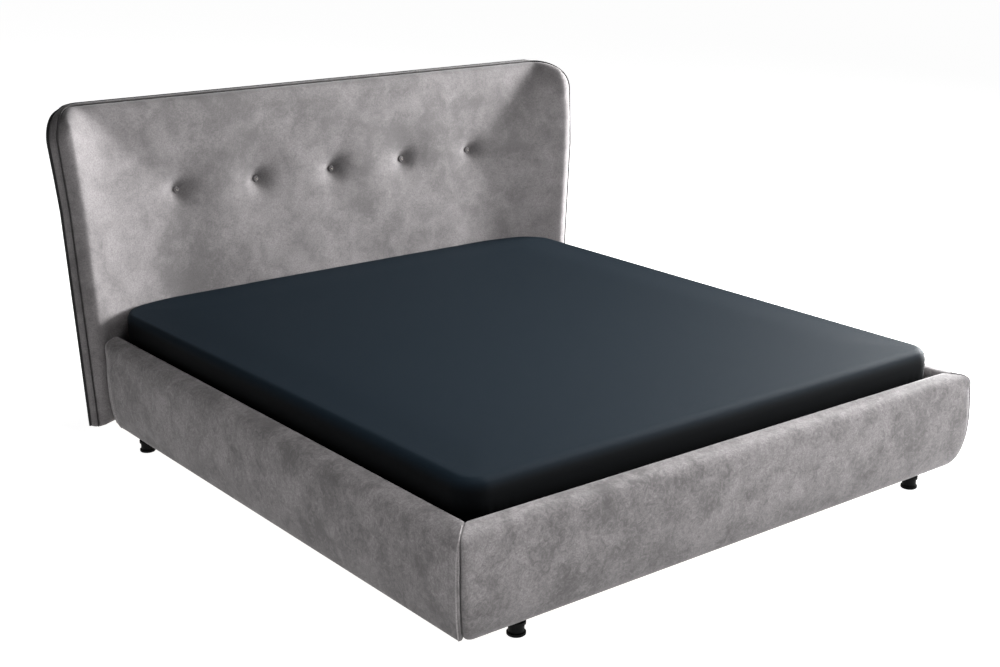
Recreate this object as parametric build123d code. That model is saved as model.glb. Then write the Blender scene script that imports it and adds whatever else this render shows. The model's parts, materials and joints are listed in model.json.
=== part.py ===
from build123d import *
from math import asin, cos, radians, sin, sqrt
import os

os.makedirs("parts", exist_ok=True)

# An upholstered double bed. Lengths are in millimetres. +Z is up, +Y points to the
# headboard and -Y to the foot end. The origin is on the floor, at the middle of the bed.

# Mattress, its fitted sheet and the gaps round it
mattress_width = 1800
mattress_length = 1990
mattress_height = 200
mattress_top_z = 420
mattress_edge_radius = 34
mattress_foot_corner_radius = 75
mattress_head_corner_radius = 240
sheet_thickness = 2
sheet_hem_width = 120
side_gap = 5
foot_gap = 5
head_gap = 2

# Padded rails: the outline runs outward from the inner face and up from the floor
rail_crest_z = 337
rail_bottom_z = 38
rail_bulge = 84
rail_bulge_z = 197
rail_bottom_depth = 54
rail_shoulder_depth = 76
rail_shoulder_drop = 34
rail_crest_drop = 5
rail_inner_radius = 22
rail_shoulder_radius = 24
rail_bottom_radius = 16
rail_end_radius = 14
rail_end_gap = 2
cover_thickness = 2
cover_turn_down = 130

# Boards inside the rails
board_thickness = 22
crest_padding = 30
tongue_height = 125
strip_thickness = 16
strip_width = 42

# Ledges, head board, centre beam and its legs
ledge_width = 30
ledge_height = 28
head_board_thickness = 22
beam_width = 40
beam_height = 60
shoe_thickness = 3
shoe_length = 45
shoe_height = 40
shoe_plate_width = 80
leg_radius = 16
leg_plate_length = 70
leg_plate_thickness = 4
glide_radius = 21
glide_height = 14
leg_place_shares = (-0.18, 0.2)

# Feet under the rails
foot_radius = 25
foot_waist_radius = 21
foot_rim_height = 8
foot_edge_bevel = 2
foot_depth = 29
front_foot_inset = 133
rear_foot_setback = 300

# Headboard
headboard_top_z = 1086
headboard_bottom_z = 38
headboard_bottom_overhang = 15
headboard_top_overhang = 78
headboard_corner_radius = 165
cushion_thickness = 42
cushion_edge_radius = 36
panel_thickness = 12
batten_thickness = 22
batten_width = 60
back_cloth_thickness = 2
rim_thickness = 10
notch_gap = 5
wing_width = 437
wing_radius = 648
wing_overlap = 25

# Buttons sewn through the headboard
button_count = 5
button_wing_gap = 12
button_z = 774
button_radius = 10
button_height = 8
button_dome_radius = 12
dimple_radius = 80
dimple_depth = 18
dimple_floor_gap = 1.5
tuft_cord_radius = 1.5
toggle_radius = 9
toggle_thickness = 3
dimple_slope_share = 0.22
dimple_rim_share = 0.45

# Brackets, bolts and spacer blocks
bracket_leg = 60
bracket_height = 40
bracket_thickness = 3
bracket_drop = 5
bolt_radius = 3
bolt_head_radius = 6.5
bolt_head_height = 4
bolt_grip = 15
spacer_wing_gap = 70
spacer_width = 90
headboard_bolt_radius = 4
headboard_bolt_head_radius = 9
headboard_bolt_head_height = 5
headboard_bolt_spread = 50
headboard_bolt_grip = 16
headboard_bolt_z = 90

# Slatted bases
base_side_gap = 5
base_middle_gap = 3
base_foot_gap = 4
base_head_gap = 71
base_bar_width = 28
base_bar_height = 50
base_cross_bar_height = 40
slat_count = 18
slat_width = 60
slat_thickness = 8
slat_rise = 12
slat_grip = 24
slat_end_margin = 34
slat_play = 1.5
cap_length = 36
cap_wall = 3
seat_gap = 0.5

# How far cutting tools run past what they cut, and how near counts as touching
overrun = 60
touch = 0.05

# Levels and places worked out from the sizes above
half_well = mattress_width / 2 + side_gap
well_length = mattress_length + foot_gap + head_gap
headboard_depth = cushion_thickness + panel_thickness + batten_thickness + back_cloth_thickness
total_length = rail_bulge + well_length + headboard_depth
front_y = -total_length / 2
foot_inner_y = front_y + rail_bulge
face_y = foot_inner_y + well_length
back_y = face_y + headboard_depth
panel_front_y = face_y + cushion_thickness
panel_back_y = panel_front_y + panel_thickness
headboard_bottom_half_width = half_well + rail_bulge + headboard_bottom_overhang
headboard_top_half_width = half_well + rail_bulge + headboard_top_overhang
wing_start = headboard_top_half_width - wing_width
spacer_x = wing_start - spacer_wing_gap
button_spacing = 2 * (wing_start - button_wing_gap) / (button_count - 1)

board_inner_x = half_well + cover_thickness
board_outer_x = board_inner_x + board_thickness
strip_bottom_z = rail_bottom_z + cover_thickness
board_bottom_z = strip_bottom_z + strip_thickness
board_top_z = rail_crest_z - crest_padding
tongue_top_z = board_bottom_z + tongue_height
foot_board_y = foot_inner_y - cover_thickness
foot_board_front_y = foot_board_y - board_thickness

mattress_bottom_z = mattress_top_z - mattress_height
mattress_foot_y = foot_inner_y + foot_gap
cap_slot_height = slat_thickness + 2 * slat_play
cap_height = cap_slot_height + 2 * cap_wall
slat_end_z = cap_wall + slat_play
base_height = base_bar_height + slat_end_z + slat_rise + slat_thickness
base_z = mattress_bottom_z - seat_gap - base_height
base_foot_y = foot_inner_y + base_foot_gap
base_head_y = face_y - base_head_gap
base_length = base_head_y - base_foot_y
base_inner_x = base_middle_gap
base_outer_x = half_well - base_side_gap
head_board_back_y = base_head_y - base_bar_width / 2
head_board_front_y = head_board_back_y - head_board_thickness
bracket_top_z = base_z - ledge_height - bracket_drop
bracket_bottom_z = bracket_top_z - bracket_height
bracket_z = (bracket_top_z + bracket_bottom_z) / 2
button_places = [(index - (button_count - 1) / 2) * button_spacing for index in range(button_count)]


def block(x_range, y_range, z_range):
    """A box between two values on each axis."""
    ranges = (x_range, y_range, z_range)
    sizes = [high - low for low, high in ranges]
    middles = [(high + low) / 2 for low, high in ranges]
    return Pos(*middles) * Box(*sizes)


def mirrored(shape):
    """The mirror image of a shape on the other side of the bed."""
    return mirror(shape, about=Plane.YZ)


def bar_along_y(x, y_range, z, radius):
    """A round bar along Y."""
    low, high = y_range
    plane = Plane(origin=(x, low, z), x_dir=(1, 0, 0), z_dir=(0, 1, 0))
    return extrude(plane * Circle(radius), high - low)


def bar_along_x(x_range, y, z, radius):
    """A round bar along X."""
    low, high = x_range
    plane = Plane(origin=(low, y, z), x_dir=(0, 1, 0), z_dir=(1, 0, 0))
    return extrude(plane * Circle(radius), high - low)


def prism(points, z_range):
    """A straight-sided block over a polygon in plan."""
    low, high = z_range
    return extrude(Pos(0, 0, low) * make_face(Polyline(*points, close=True)), high - low)


def save(name, *solids):
    """Write one node's solids to its file."""
    shape = solids[0] if len(solids) == 1 else Compound(children=list(solids))
    export_step(shape, f"parts/{name}.step")


# Headboard: curved layers that share one bend, so that they lie on each other


def wing_point(half_width, depth):
    """A point of the bent wing in plan, square to the place where its seam is this far out."""
    seam_radius = wing_radius + cushion_thickness
    angle = asin((half_width - wing_start) / seam_radius)
    bend = wing_radius + depth
    return wing_start + bend * sin(angle), face_y - wing_radius + bend * cos(angle)


def layer_section(front_depth, back_depth):
    """A level slice of the headboard between two depths behind its front face."""
    tip = headboard_top_half_width + wing_overlap
    middle = (wing_start + tip) / 2
    front = face_y + front_depth
    back = face_y + back_depth
    front_tip = wing_point(tip, front_depth)
    back_tip = wing_point(tip, back_depth)
    right = [
        ThreePointArc((wing_start, front), wing_point(middle, front_depth), front_tip),
        Line(front_tip, back_tip),
        ThreePointArc(back_tip, wing_point(middle, back_depth), (wing_start, back)),
    ]
    left = [mirrored(edge) for edge in right]
    joins = [Line((-wing_start, front), (wing_start, front)), Line((-wing_start, back), (wing_start, back))]
    return make_face(right + left + joins)


def end_cutter(extra):
    """The block beyond the right end of the headboard, square to the bent layers."""
    seam_low = Vector(*wing_point(headboard_bottom_half_width, cushion_thickness), headboard_bottom_z)
    seam_high = Vector(*wing_point(headboard_top_half_width, cushion_thickness), headboard_top_z)
    middle = (headboard_bottom_half_width + headboard_top_half_width) / 2
    across = Vector(*wing_point(middle, cushion_thickness)) - Vector(*wing_point(middle, 0))
    rise = seam_high - seam_low
    away = across.cross(rise).normalized()
    size = 2 * headboard_top_z
    plane = Plane(origin=seam_low + away * extra, x_dir=rise, z_dir=away)
    return extrude(plane * Rectangle(size, size), size)


def headboard_block(extra=0):
    """The headboard's whole thickness, wider and higher by extra, with round top corners."""
    height = headboard_top_z + extra - headboard_bottom_z
    solid = extrude(Pos(0, 0, headboard_bottom_z) * layer_section(0, headboard_depth), height)
    cutter = end_cutter(extra)
    solid -= cutter
    solid -= mirrored(cutter)
    top_edges = solid.edges().group_by(Axis.Z)[-1]
    corners = sorted(top_edges, key=lambda edge: -abs(edge.center().X))[:2]
    return fillet(corners, headboard_corner_radius + extra)


def curved_layer(front_depth, back_depth, extra=0):
    """One bent layer of the headboard, between two depths behind its front face."""
    low = headboard_bottom_z - overrun
    height = headboard_top_z + extra + overrun - low
    return headboard_block(extra) & extrude(Pos(0, 0, low) * layer_section(front_depth, back_depth), height)


def front_rim_edges(solid):
    """The edges where the cushion's front meets its ends and top."""
    fronts = [face for face in solid.faces() if face.normal_at().Y < -cos(radians(30))]
    found = []
    for edge in solid.edges():
        fronts_here = [face for face in fronts if any(edge.is_same(other) for other in face.edges())]
        if len(fronts_here) == 1 and edge.center().Z > headboard_bottom_z + touch:
            found.append(edge)
    return found


def dimple(x):
    """The hollow that a sewn button pulls into the cushion."""
    floor_radius = button_radius + dimple_floor_gap
    width = dimple_radius - floor_radius
    curve = Bezier(
        (floor_radius, dimple_depth),
        (floor_radius + dimple_slope_share * width, dimple_slope_share * dimple_depth),
        (floor_radius + dimple_rim_share * width, 0),
        (dimple_radius, 0),
    )
    sides = [
        Line((0, -overrun), (0, dimple_depth)),
        Line((0, dimple_depth), (floor_radius, dimple_depth)),
        curve,
        Line((dimple_radius, 0), (dimple_radius, -overrun)),
        Line((dimple_radius, -overrun), (0, -overrun)),
    ]
    return Pos(x, face_y, button_z) * revolve(make_face(sides), Axis.Y)


def frame_notch():
    """The space low in the headboard's padding that the bed frame reaches through."""
    half = board_outer_x + notch_gap
    deep = (face_y - wing_radius, panel_front_y)
    return block((-half, half), deep, (0, tongue_top_z + notch_gap))


def headboard_cushion():
    """Front pad with rolled edges, button hollows, and a notch for the bed frame."""
    pad = curved_layer(0, cushion_thickness)
    pad = fillet(front_rim_edges(pad), cushion_edge_radius)
    pad -= frame_notch()
    for x in button_places:
        pad -= dimple(x)
        pad -= bar_along_y(x, (face_y, panel_front_y), button_z, tuft_cord_radius)
    return pad


def headboard_bolt_places():
    """Across and up, the places of the bolts that hold the headboard to the frame."""
    places = []
    for side in (-1, 1):
        for end in (-1, 1):
            places.append((side * spacer_x + end * headboard_bolt_spread / 2, headboard_bolt_z))
    return places


def headboard_panel():
    """The bent plywood panel behind the padding."""
    panel = curved_layer(cushion_thickness, cushion_thickness + panel_thickness)
    for x in button_places:
        panel -= bar_along_y(x, (panel_front_y, panel_back_y), button_z, tuft_cord_radius)
    for x, z in headboard_bolt_places():
        panel -= bar_along_y(x, (panel_front_y, panel_back_y), z, headboard_bolt_radius)
    return panel


def batten_layer():
    """All the space between the plywood panel and the back cloth."""
    front = cushion_thickness + panel_thickness
    return curved_layer(front, front + batten_thickness)


def across_headboard(x_range, z_range):
    """A block that reaches through the headboard from front to back."""
    return block(x_range, (face_y - wing_radius, back_y + overrun), z_range)


def headboard_battens():
    """Bottom rail, top rail and posts of the headboard's timber frame."""
    layer = batten_layer()
    full = (-2 * headboard_top_half_width, 2 * headboard_top_half_width)
    low = headboard_bottom_z + batten_width
    high = headboard_top_z - batten_width
    bottom = layer & across_headboard(full, (0, low))
    for x, z in headboard_bolt_places():
        grip = (panel_back_y, panel_back_y + headboard_bolt_grip)
        bottom -= bar_along_y(x, grip, z, headboard_bolt_radius)
    top = layer & across_headboard(full, (high, headboard_top_z + overrun))
    posts = []
    places = [(index - button_count / 2) * button_spacing for index in range(button_count + 1)]
    for x in places:
        posts.append(layer & across_headboard((x - batten_width / 2, x + batten_width / 2), (low, high)))
    return bottom, top, posts


def headboard_rim():
    """The padded band round the ends and top of the headboard."""
    return curved_layer(cushion_thickness, headboard_depth, rim_thickness) - headboard_block()


def button():
    """A covered button with a domed face, its back at the origin and its face towards -Y."""
    rim = button_height - button_dome_radius + sqrt(button_dome_radius**2 - button_radius**2)
    sides = [
        Line((0, 0), (button_radius, 0)),
        Line((button_radius, 0), (button_radius, -rim)),
        RadiusArc((button_radius, -rim), (0, -button_height), button_dome_radius),
        Line((0, -button_height), (0, 0)),
    ]
    return revolve(make_face(sides), Axis.Y)


# Padded rails: one outline, swept along the sides and the foot end


def rail_outline(inset=0):
    """The rail's outline, outward from its inner face and up, drawn in by inset."""
    inner_top = (0, rail_crest_z)
    outer_top = (rail_shoulder_depth, rail_crest_z - rail_crest_drop)
    shoulder = (rail_shoulder_depth, rail_crest_z - rail_shoulder_drop)
    outer_bottom = (rail_bottom_depth, rail_bottom_z)
    inner_bottom = (0, rail_bottom_z)
    sides = [
        Polyline(outer_bottom, inner_bottom, inner_top, outer_top, shoulder),
        rail_outline_arc(shoulder),
        rail_outline_arc(outer_bottom),
    ]
    shape = make_face(sides)
    corners = (
        (inner_top, rail_inner_radius),
        (outer_top, rail_shoulder_radius),
        (outer_bottom, rail_bottom_radius),
    )
    for corner, radius in corners:
        shape = fillet(shape.vertices().sort_by_distance((*corner, 0))[0], radius)
    if inset:
        shape = offset(shape, -inset, kind=Kind.INTERSECTION)
    return shape


def rail_outline_arc(end):
    """The arc from one end of the rail's side to its fullest point, upright there."""
    depth, z = end
    bulge = (rail_bulge, rail_bulge_z)
    across = rail_bulge - depth
    rise = z - rail_bulge_z
    radius = (across**2 + rise**2) / (2 * across)
    half_rise = rise / 2
    middle = (rail_bulge - radius + sqrt(radius**2 - half_rise**2), rail_bulge_z + half_rise)
    return ThreePointArc(end, middle, bulge)


def side_sweep(shape):
    """An outline swept along the right side, from well past the foot end to the headboard."""
    low = front_y - overrun
    plane = Plane(origin=(half_well, low, 0), x_dir=(1, 0, 0), z_dir=(0, -1, 0))
    return extrude(plane * shape, low - face_y)


def foot_sweep(shape):
    """An outline swept along the foot end, cut to a mitre at both corners."""
    reach = half_well + rail_bulge + overrun
    plane = Plane(origin=(reach, foot_inner_y, 0), x_dir=(0, -1, 0), z_dir=(-1, 0, 0))
    return extrude(plane * shape, 2 * reach) & foot_zone()


def foot_zone():
    """Everything on the foot end's side of the two mitres."""
    deep = rail_bulge + overrun
    outer = half_well + deep
    points = [
        (-half_well, foot_inner_y),
        (half_well, foot_inner_y),
        (outer, foot_inner_y - deep),
        (-outer, foot_inner_y - deep),
    ]
    return prism(points, (0, rail_crest_z + overrun))


def face_line(extra=0):
    """Two points in plan where the right rail's end meets the headboard's face."""
    points = []
    for depth in (0, rail_bulge):
        out = half_well + depth - wing_start
        back = wing_radius - sqrt(wing_radius**2 - out**2)
        points.append((half_well + depth, face_y - back - rail_end_gap - extra))
    return points


def head_zone(extra=0):
    """Everything behind the slanted plane where the right rail's padding ends."""
    (x_low, y_low), (x_high, y_high) = face_line(extra)
    slope = (y_high - y_low) / (x_high - x_low)
    left = x_low - overrun
    right = x_high + overrun
    points = [
        (left, y_low - slope * overrun),
        (right, y_high + slope * overrun),
        (right, back_y),
        (left, back_y),
    ]
    return prism(points, (0, rail_crest_z + overrun))


def rail_end_edges(solid, inset):
    """The edges round the rail's slanted end."""
    (x_low, y_low), (x_high, y_high) = face_line(inset)
    along = Vector(x_high - x_low, y_high - y_low).normalized()
    found = []
    for edge in solid.edges():
        offsets = []
        for point in (edge @ 0, edge @ 0.5, edge @ 1):
            reach = point - Vector(x_low, y_low, point.Z)
            offsets.append(abs(reach.X * along.Y - reach.Y * along.X))
        if max(offsets) < touch:
            found.append(edge)
    return found


def side_envelope(inset=0):
    """The right rail's padded form: mitred at the foot, rounded at the headboard."""
    solid = side_sweep(rail_outline(inset)) - foot_zone() - head_zone(inset)
    return fillet(rail_end_edges(solid, inset), rail_end_radius - inset)


def side_board():
    """The right rail's board, with a tongue that reaches the headboard's panel."""
    x_range = (board_inner_x, board_outer_x)
    board = block(x_range, (foot_board_y, back_y), (board_bottom_z, board_top_z)) - head_zone(rail_end_radius)
    tongue_y = face_line(rail_end_radius)[1][1]
    tongue = block(x_range, (tongue_y, panel_front_y), (board_bottom_z, tongue_top_z))
    behind_panel = extrude(layer_section(cushion_thickness, headboard_depth + overrun), rail_crest_z)
    return board + (tongue - behind_panel)


def rail_strip_outline():
    """The board laid flat under a rail, which the feet are screwed to."""
    inner = cover_thickness
    points = [
        (inner, strip_bottom_z),
        (strip_width, strip_bottom_z),
        (strip_width, board_bottom_z),
        (inner, board_bottom_z),
    ]
    return make_face(Polyline(*points, close=True))


def bracket_places():
    """The four inner corners of the frame: the corner in plan and the way the legs run."""
    return [
        (board_inner_x, foot_board_y, 1),
        (board_inner_x, head_board_front_y, -1),
    ]


def corner_bracket(x, y, way):
    """A steel angle in one corner of the frame."""
    points = [
        (x, y),
        (x - bracket_leg, y),
        (x - bracket_leg, y + way * bracket_thickness),
        (x - bracket_thickness, y + way * bracket_thickness),
        (x - bracket_thickness, y + way * bracket_leg),
        (x, y + way * bracket_leg),
    ]
    bracket = prism(points, (bracket_bottom_z, bracket_top_z))
    for shank in bracket_bolt_shanks(x, y, way, bolt_radius):
        bracket -= shank
    return bracket


def bracket_bolt_shanks(x, y, way, radius):
    """The shanks of the two bolts of one corner bracket, which also cut their holes."""
    middle = (bracket_leg + bracket_thickness) / 2
    across = bar_along_x((x - bracket_thickness, x + bolt_grip), y + way * middle, bracket_z, radius)
    y_range = sorted((y + way * bracket_thickness, y - way * bolt_grip))
    along = bar_along_y(x - middle, y_range, bracket_z, radius)
    return across, along


def bracket_bolts(x, y, way):
    """The two bolts of one corner bracket."""
    middle = (bracket_leg + bracket_thickness) / 2
    across, along = bracket_bolt_shanks(x, y, way, bolt_radius)
    head_x = x - bracket_thickness
    across += bar_along_x((head_x - bolt_head_height, head_x), y + way * middle, bracket_z, bolt_head_radius)
    head_y = y + way * bracket_thickness
    y_range = sorted((head_y, head_y + way * bolt_head_height))
    along += bar_along_y(x - middle, y_range, bracket_z, bolt_head_radius)
    return across, along


def centre_beam_shoe(y, way):
    """A steel shoe that carries one end of the centre beam, on the board at y."""
    half = beam_width / 2
    outer = half + shoe_thickness
    beam_bottom = base_z - beam_height
    z_range = (beam_bottom - shoe_thickness, beam_bottom + shoe_height)
    y_range = sorted((y, y + way * shoe_length))
    shoe = block((-outer, outer), y_range, z_range)
    shoe -= block((-half, half), y_range, (beam_bottom, beam_bottom + shoe_height))
    plate_half = shoe_plate_width / 2
    plate = block((-plate_half, plate_half), sorted((y, y + way * shoe_thickness)), z_range)
    return shoe + plate


def foot():
    """A round black foot: a waisted body on a wider rim."""
    height = rail_bottom_z
    body = Cylinder(foot_waist_radius, height, align=(Align.CENTER, Align.CENTER, Align.MIN))
    rim = Cylinder(foot_radius, foot_rim_height, align=(Align.CENTER, Align.CENTER, Align.MIN))
    rim = chamfer(rim.edges().group_by(Axis.Z)[0], foot_edge_bevel)
    top = Pos(0, 0, height - foot_rim_height) * Cylinder(
        foot_radius, foot_rim_height, align=(Align.CENTER, Align.CENTER, Align.MIN)
    )
    return body + rim + top


def mattress_block(inset):
    """The mattress's form: rounder corners at the head, where the wings press on it."""
    half = mattress_width / 2 - inset
    foot_y = mattress_foot_y + inset
    head_y = mattress_foot_y + mattress_length - inset
    corners = [(-half, foot_y), (half, foot_y), (half, head_y), (-half, head_y)]
    plan = make_face(Polyline(*corners, close=True))
    plan = fillet(plan.vertices().group_by(Axis.Y)[0], mattress_foot_corner_radius - inset)
    plan = fillet(plan.vertices().group_by(Axis.Y)[-1], mattress_head_corner_radius - inset)
    low = mattress_bottom_z + inset
    solid = extrude(Pos(0, 0, low) * plan, mattress_height - 2 * inset)
    rims = solid.edges().group_by(Axis.Z)
    return fillet(rims[0] + rims[-1], mattress_edge_radius - inset)


def fitted_sheet():
    """The sheet over the mattress, open underneath inside its elastic hem."""
    sheet = mattress_block(0) - mattress_block(sheet_thickness)
    half = mattress_width / 2 - sheet_hem_width
    y_range = (mattress_foot_y + sheet_hem_width, mattress_foot_y + mattress_length - sheet_hem_width)
    return sheet - block((-half, half), y_range, (0, mattress_bottom_z + 2 * sheet_thickness))


# Slatted bases: made for the right half of the bed and mirrored


def slat_places():
    """How far up the bed each slat's middle is."""
    first = base_foot_y + slat_end_margin + slat_width / 2
    last = base_head_y - slat_end_margin - slat_width / 2
    return [first + index * (last - first) / (slat_count - 1) for index in range(slat_count)]


def slat(y):
    """One sprung slat, bowed upward."""
    start = base_inner_x + cap_length - slat_grip
    end = base_outer_x - cap_length + slat_grip
    middle = (start + end) / 2
    low = base_z + base_bar_height + slat_end_z
    high = low + slat_thickness
    plane = Plane(origin=(0, y + slat_width / 2, 0), x_dir=(1, 0, 0), z_dir=(0, -1, 0))
    sides = [
        ThreePointArc((start, low), (middle, low + slat_rise), (end, low)),
        Line((end, low), (end, high)),
        ThreePointArc((end, high), (middle, high + slat_rise), (start, high)),
        Line((start, high), (start, low)),
    ]
    return extrude(plane * make_face(sides), slat_width)


def slat_caps(y):
    """The two rubber holders of one slat."""
    low = base_z + base_bar_height
    half = slat_width / 2
    wide = (y - half - cap_wall, y + half + cap_wall)
    narrow = (y - half, y + half)
    slot = (low + cap_wall, low + cap_wall + cap_slot_height)
    inner = block((base_inner_x, base_inner_x + cap_length), wide, (low, low + cap_height))
    inner -= block((base_inner_x + cap_length - slat_grip, base_inner_x + cap_length), narrow, slot)
    outer = block((base_outer_x - cap_length, base_outer_x), wide, (low, low + cap_height))
    outer -= block((base_outer_x - cap_length, base_outer_x - cap_length + slat_grip), narrow, slot)
    return inner, outer


def base_long_bars():
    """The two long bars of a slatted base."""
    y_range = (base_foot_y, base_head_y)
    z_range = (base_z, base_z + base_bar_height)
    inner = block((base_inner_x, base_inner_x + base_bar_width), y_range, z_range)
    outer = block((base_outer_x - base_bar_width, base_outer_x), y_range, z_range)
    return inner, outer


def base_cross_bars():
    """The head, middle and foot bars between the long bars."""
    x_range = (base_inner_x + base_bar_width, base_outer_x - base_bar_width)
    z_range = (base_z, base_z + base_cross_bar_height)
    room = base_length - base_bar_width
    bars = []
    for share in (0, 0.5, 1):
        low = base_foot_y + share * room
        bars.append(block(x_range, (low, low + base_bar_width), z_range))
    return bars


def save_headboard():
    """Padding, buttons, panel, timber frame, band and back cloth of the headboard."""
    save("headboard_cushion", headboard_cushion())
    save("headboard_panel", headboard_panel())
    bottom, top, posts = headboard_battens()
    save("headboard_bottom_rail", bottom)
    save("headboard_top_rail", top)
    save("headboard_posts", *posts)
    save("headboard_band", headboard_rim())
    save("headboard_back_cloth", curved_layer(headboard_depth - back_cloth_thickness, headboard_depth))
    floor_y = face_y + dimple_depth
    save("headboard_buttons", *[Pos(x, floor_y, button_z) * button() for x in button_places])
    cords = [bar_along_y(x, (floor_y, panel_back_y), button_z, tuft_cord_radius) for x in button_places]
    save("tuft_cords", *cords)
    toggle_y = (panel_back_y, panel_back_y + toggle_thickness)
    save("tuft_toggles", *[bar_along_y(x, toggle_y, button_z, toggle_radius) for x in button_places])


def save_rails():
    """Boards, strips, foam and covers of the two side rails and the foot rail."""
    board = side_board()
    board_z = (board_bottom_z, board_top_z)
    foot_board = block((-board_outer_x, board_outer_x), (foot_board_front_y, foot_board_y), board_z)
    strip = side_sweep(rail_strip_outline()) - foot_zone() - head_zone(2 * rail_end_radius)
    foot_strip = foot_sweep(rail_strip_outline())
    outer = side_envelope()
    inner = side_envelope(cover_thickness)
    staple_z = rail_crest_z - cover_turn_down
    turned = block((0, half_well + cover_thickness), (front_y, back_y), (strip_bottom_z, staple_z))
    cover = outer - inner - turned - board
    foam = inner - board - strip - foot_board
    foot_outer = foot_sweep(rail_outline())
    foot_inner = foot_sweep(rail_outline(cover_thickness))
    foot_turned_y = (foot_inner_y - cover_thickness, foot_inner_y)
    foot_turned = block((-board_inner_x, board_inner_x), foot_turned_y, (strip_bottom_z, staple_z))
    foot_cover = foot_outer - foot_inner - foot_turned
    foot_foam = foot_inner - foot_board - foot_strip - board - mirrored(board)

    head_board_y = (head_board_front_y, head_board_back_y)
    head_board = block((-board_inner_x, board_inner_x), head_board_y, (board_bottom_z, base_z))
    for place in bracket_places():
        for shank in bracket_bolt_shanks(*place, bolt_radius):
            board -= shank
            foot_board = foot_board - shank - mirrored(shank)
            head_board = head_board - shank - mirrored(shank)
    for x, z in headboard_bolt_places():
        head_board -= bar_along_y(x, head_board_y, z, headboard_bolt_radius)
    for side, place in (("right", lambda shape: shape), ("left", mirrored)):
        save(f"{side}_rail_board", place(board))
        save(f"{side}_rail_strip", place(strip))
        save(f"{side}_rail_foam", place(foam))
        save(f"{side}_rail_cover", place(cover))
    save("foot_rail_board", foot_board)
    save("foot_rail_strip", foot_strip)
    save("foot_rail_foam", foot_foam)
    save("foot_rail_cover", foot_cover)
    save("head_board", head_board)


def save_supports():
    """Ledges, brackets, spacers, centre beam, legs and feet."""
    ledge_z = (base_z - ledge_height, base_z)
    ledge = block((board_inner_x - ledge_width, board_inner_x), (foot_board_y, head_board_front_y), ledge_z)
    save("right_ledge", ledge)
    save("left_ledge", mirrored(ledge))
    foot_ledge_y = (foot_board_y, foot_board_y + ledge_width)
    foot_ledge = block((shoe_plate_width / 2, board_inner_x - ledge_width), foot_ledge_y, ledge_z)
    save("foot_ledges", foot_ledge, mirrored(foot_ledge))

    brackets = [corner_bracket(*place) for place in bracket_places()]
    bolts = [bolt for place in bracket_places() for bolt in bracket_bolts(*place)]
    save("corner_brackets", *brackets, *[mirrored(bracket) for bracket in brackets])
    save("bracket_bolts", *bolts, *[mirrored(bolt) for bolt in bolts])

    spacers = []
    for side in (-1, 1):
        x_range = (side * spacer_x - spacer_width / 2, side * spacer_x + spacer_width / 2)
        spacers.append(block(x_range, (head_board_back_y, panel_front_y), (board_bottom_z, base_z)))
    headboard_bolts = []
    for x, z in headboard_bolt_places():
        reach = (head_board_front_y, panel_back_y + headboard_bolt_grip)
        shank = bar_along_y(x, reach, z, headboard_bolt_radius)
        spacers = [spacer - shank for spacer in spacers]
        head = (head_board_front_y - headboard_bolt_head_height, head_board_front_y)
        headboard_bolts.append(shank + bar_along_y(x, head, z, headboard_bolt_head_radius))
    save("headboard_spacers", *spacers)
    save("headboard_bolts", *headboard_bolts)

    beam_bottom = base_z - beam_height
    beam_half = beam_width / 2
    beam_range = (foot_board_y + shoe_thickness, head_board_front_y - shoe_thickness)
    save("centre_beam", block((-beam_half, beam_half), beam_range, (beam_bottom, base_z)))
    save("beam_shoes", centre_beam_shoe(foot_board_y, 1), centre_beam_shoe(head_board_front_y, -1))
    legs = []
    glides = []
    for share in leg_place_shares:
        y = share * total_length
        plate_half = leg_plate_length / 2
        plate_z = (beam_bottom - leg_plate_thickness, beam_bottom)
        leg = block((-beam_half, beam_half), (y - plate_half, y + plate_half), plate_z)
        tube_height = beam_bottom - leg_plate_thickness - glide_height
        align = (Align.CENTER, Align.CENTER, Align.MIN)
        legs.append(leg + Pos(0, y, glide_height) * Cylinder(leg_radius, tube_height, align=align))
        glides.append(Pos(0, y, 0) * Cylinder(glide_radius, glide_height, align=align))
    save("centre_legs", *legs)
    save("centre_leg_glides", *glides)

    front_foot_x = half_well - front_foot_inset
    front_foot_y = foot_inner_y - foot_depth
    rear_foot_x = half_well + foot_depth
    rear_foot_y = face_y - rear_foot_setback
    save("right_front_foot", Pos(front_foot_x, front_foot_y, 0) * foot())
    save("left_front_foot", Pos(-front_foot_x, front_foot_y, 0) * foot())
    save("right_rear_foot", Pos(rear_foot_x, rear_foot_y, 0) * foot())
    save("left_rear_foot", Pos(-rear_foot_x, rear_foot_y, 0) * foot())


def save_sleeping_parts():
    """The two slatted bases, the mattress and its sheet."""
    long_bars = base_long_bars()
    cross_bars = base_cross_bars()
    slats = [slat(y) for y in slat_places()]
    caps = [cap for y in slat_places() for cap in slat_caps(y)]
    for side, place in (("right", lambda shape: shape), ("left", mirrored)):
        save(f"{side}_base_long_bars", *[place(bar) for bar in long_bars])
        save(f"{side}_base_cross_bars", *[place(bar) for bar in cross_bars])
        save(f"{side}_base_slats", *[place(one) for one in slats])
        save(f"{side}_base_slat_caps", *[place(cap) for cap in caps])
    save("mattress", mattress_block(sheet_thickness))
    save("fitted_sheet", fitted_sheet())


save_headboard()
save_rails()
save_supports()
save_sleeping_parts()
print(f"length {total_length}, height {headboard_top_z + rim_thickness}")
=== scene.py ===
import json
import logging
import math
from dataclasses import dataclass
from enum import Enum
from typing import Any, Callable, Iterator

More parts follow.
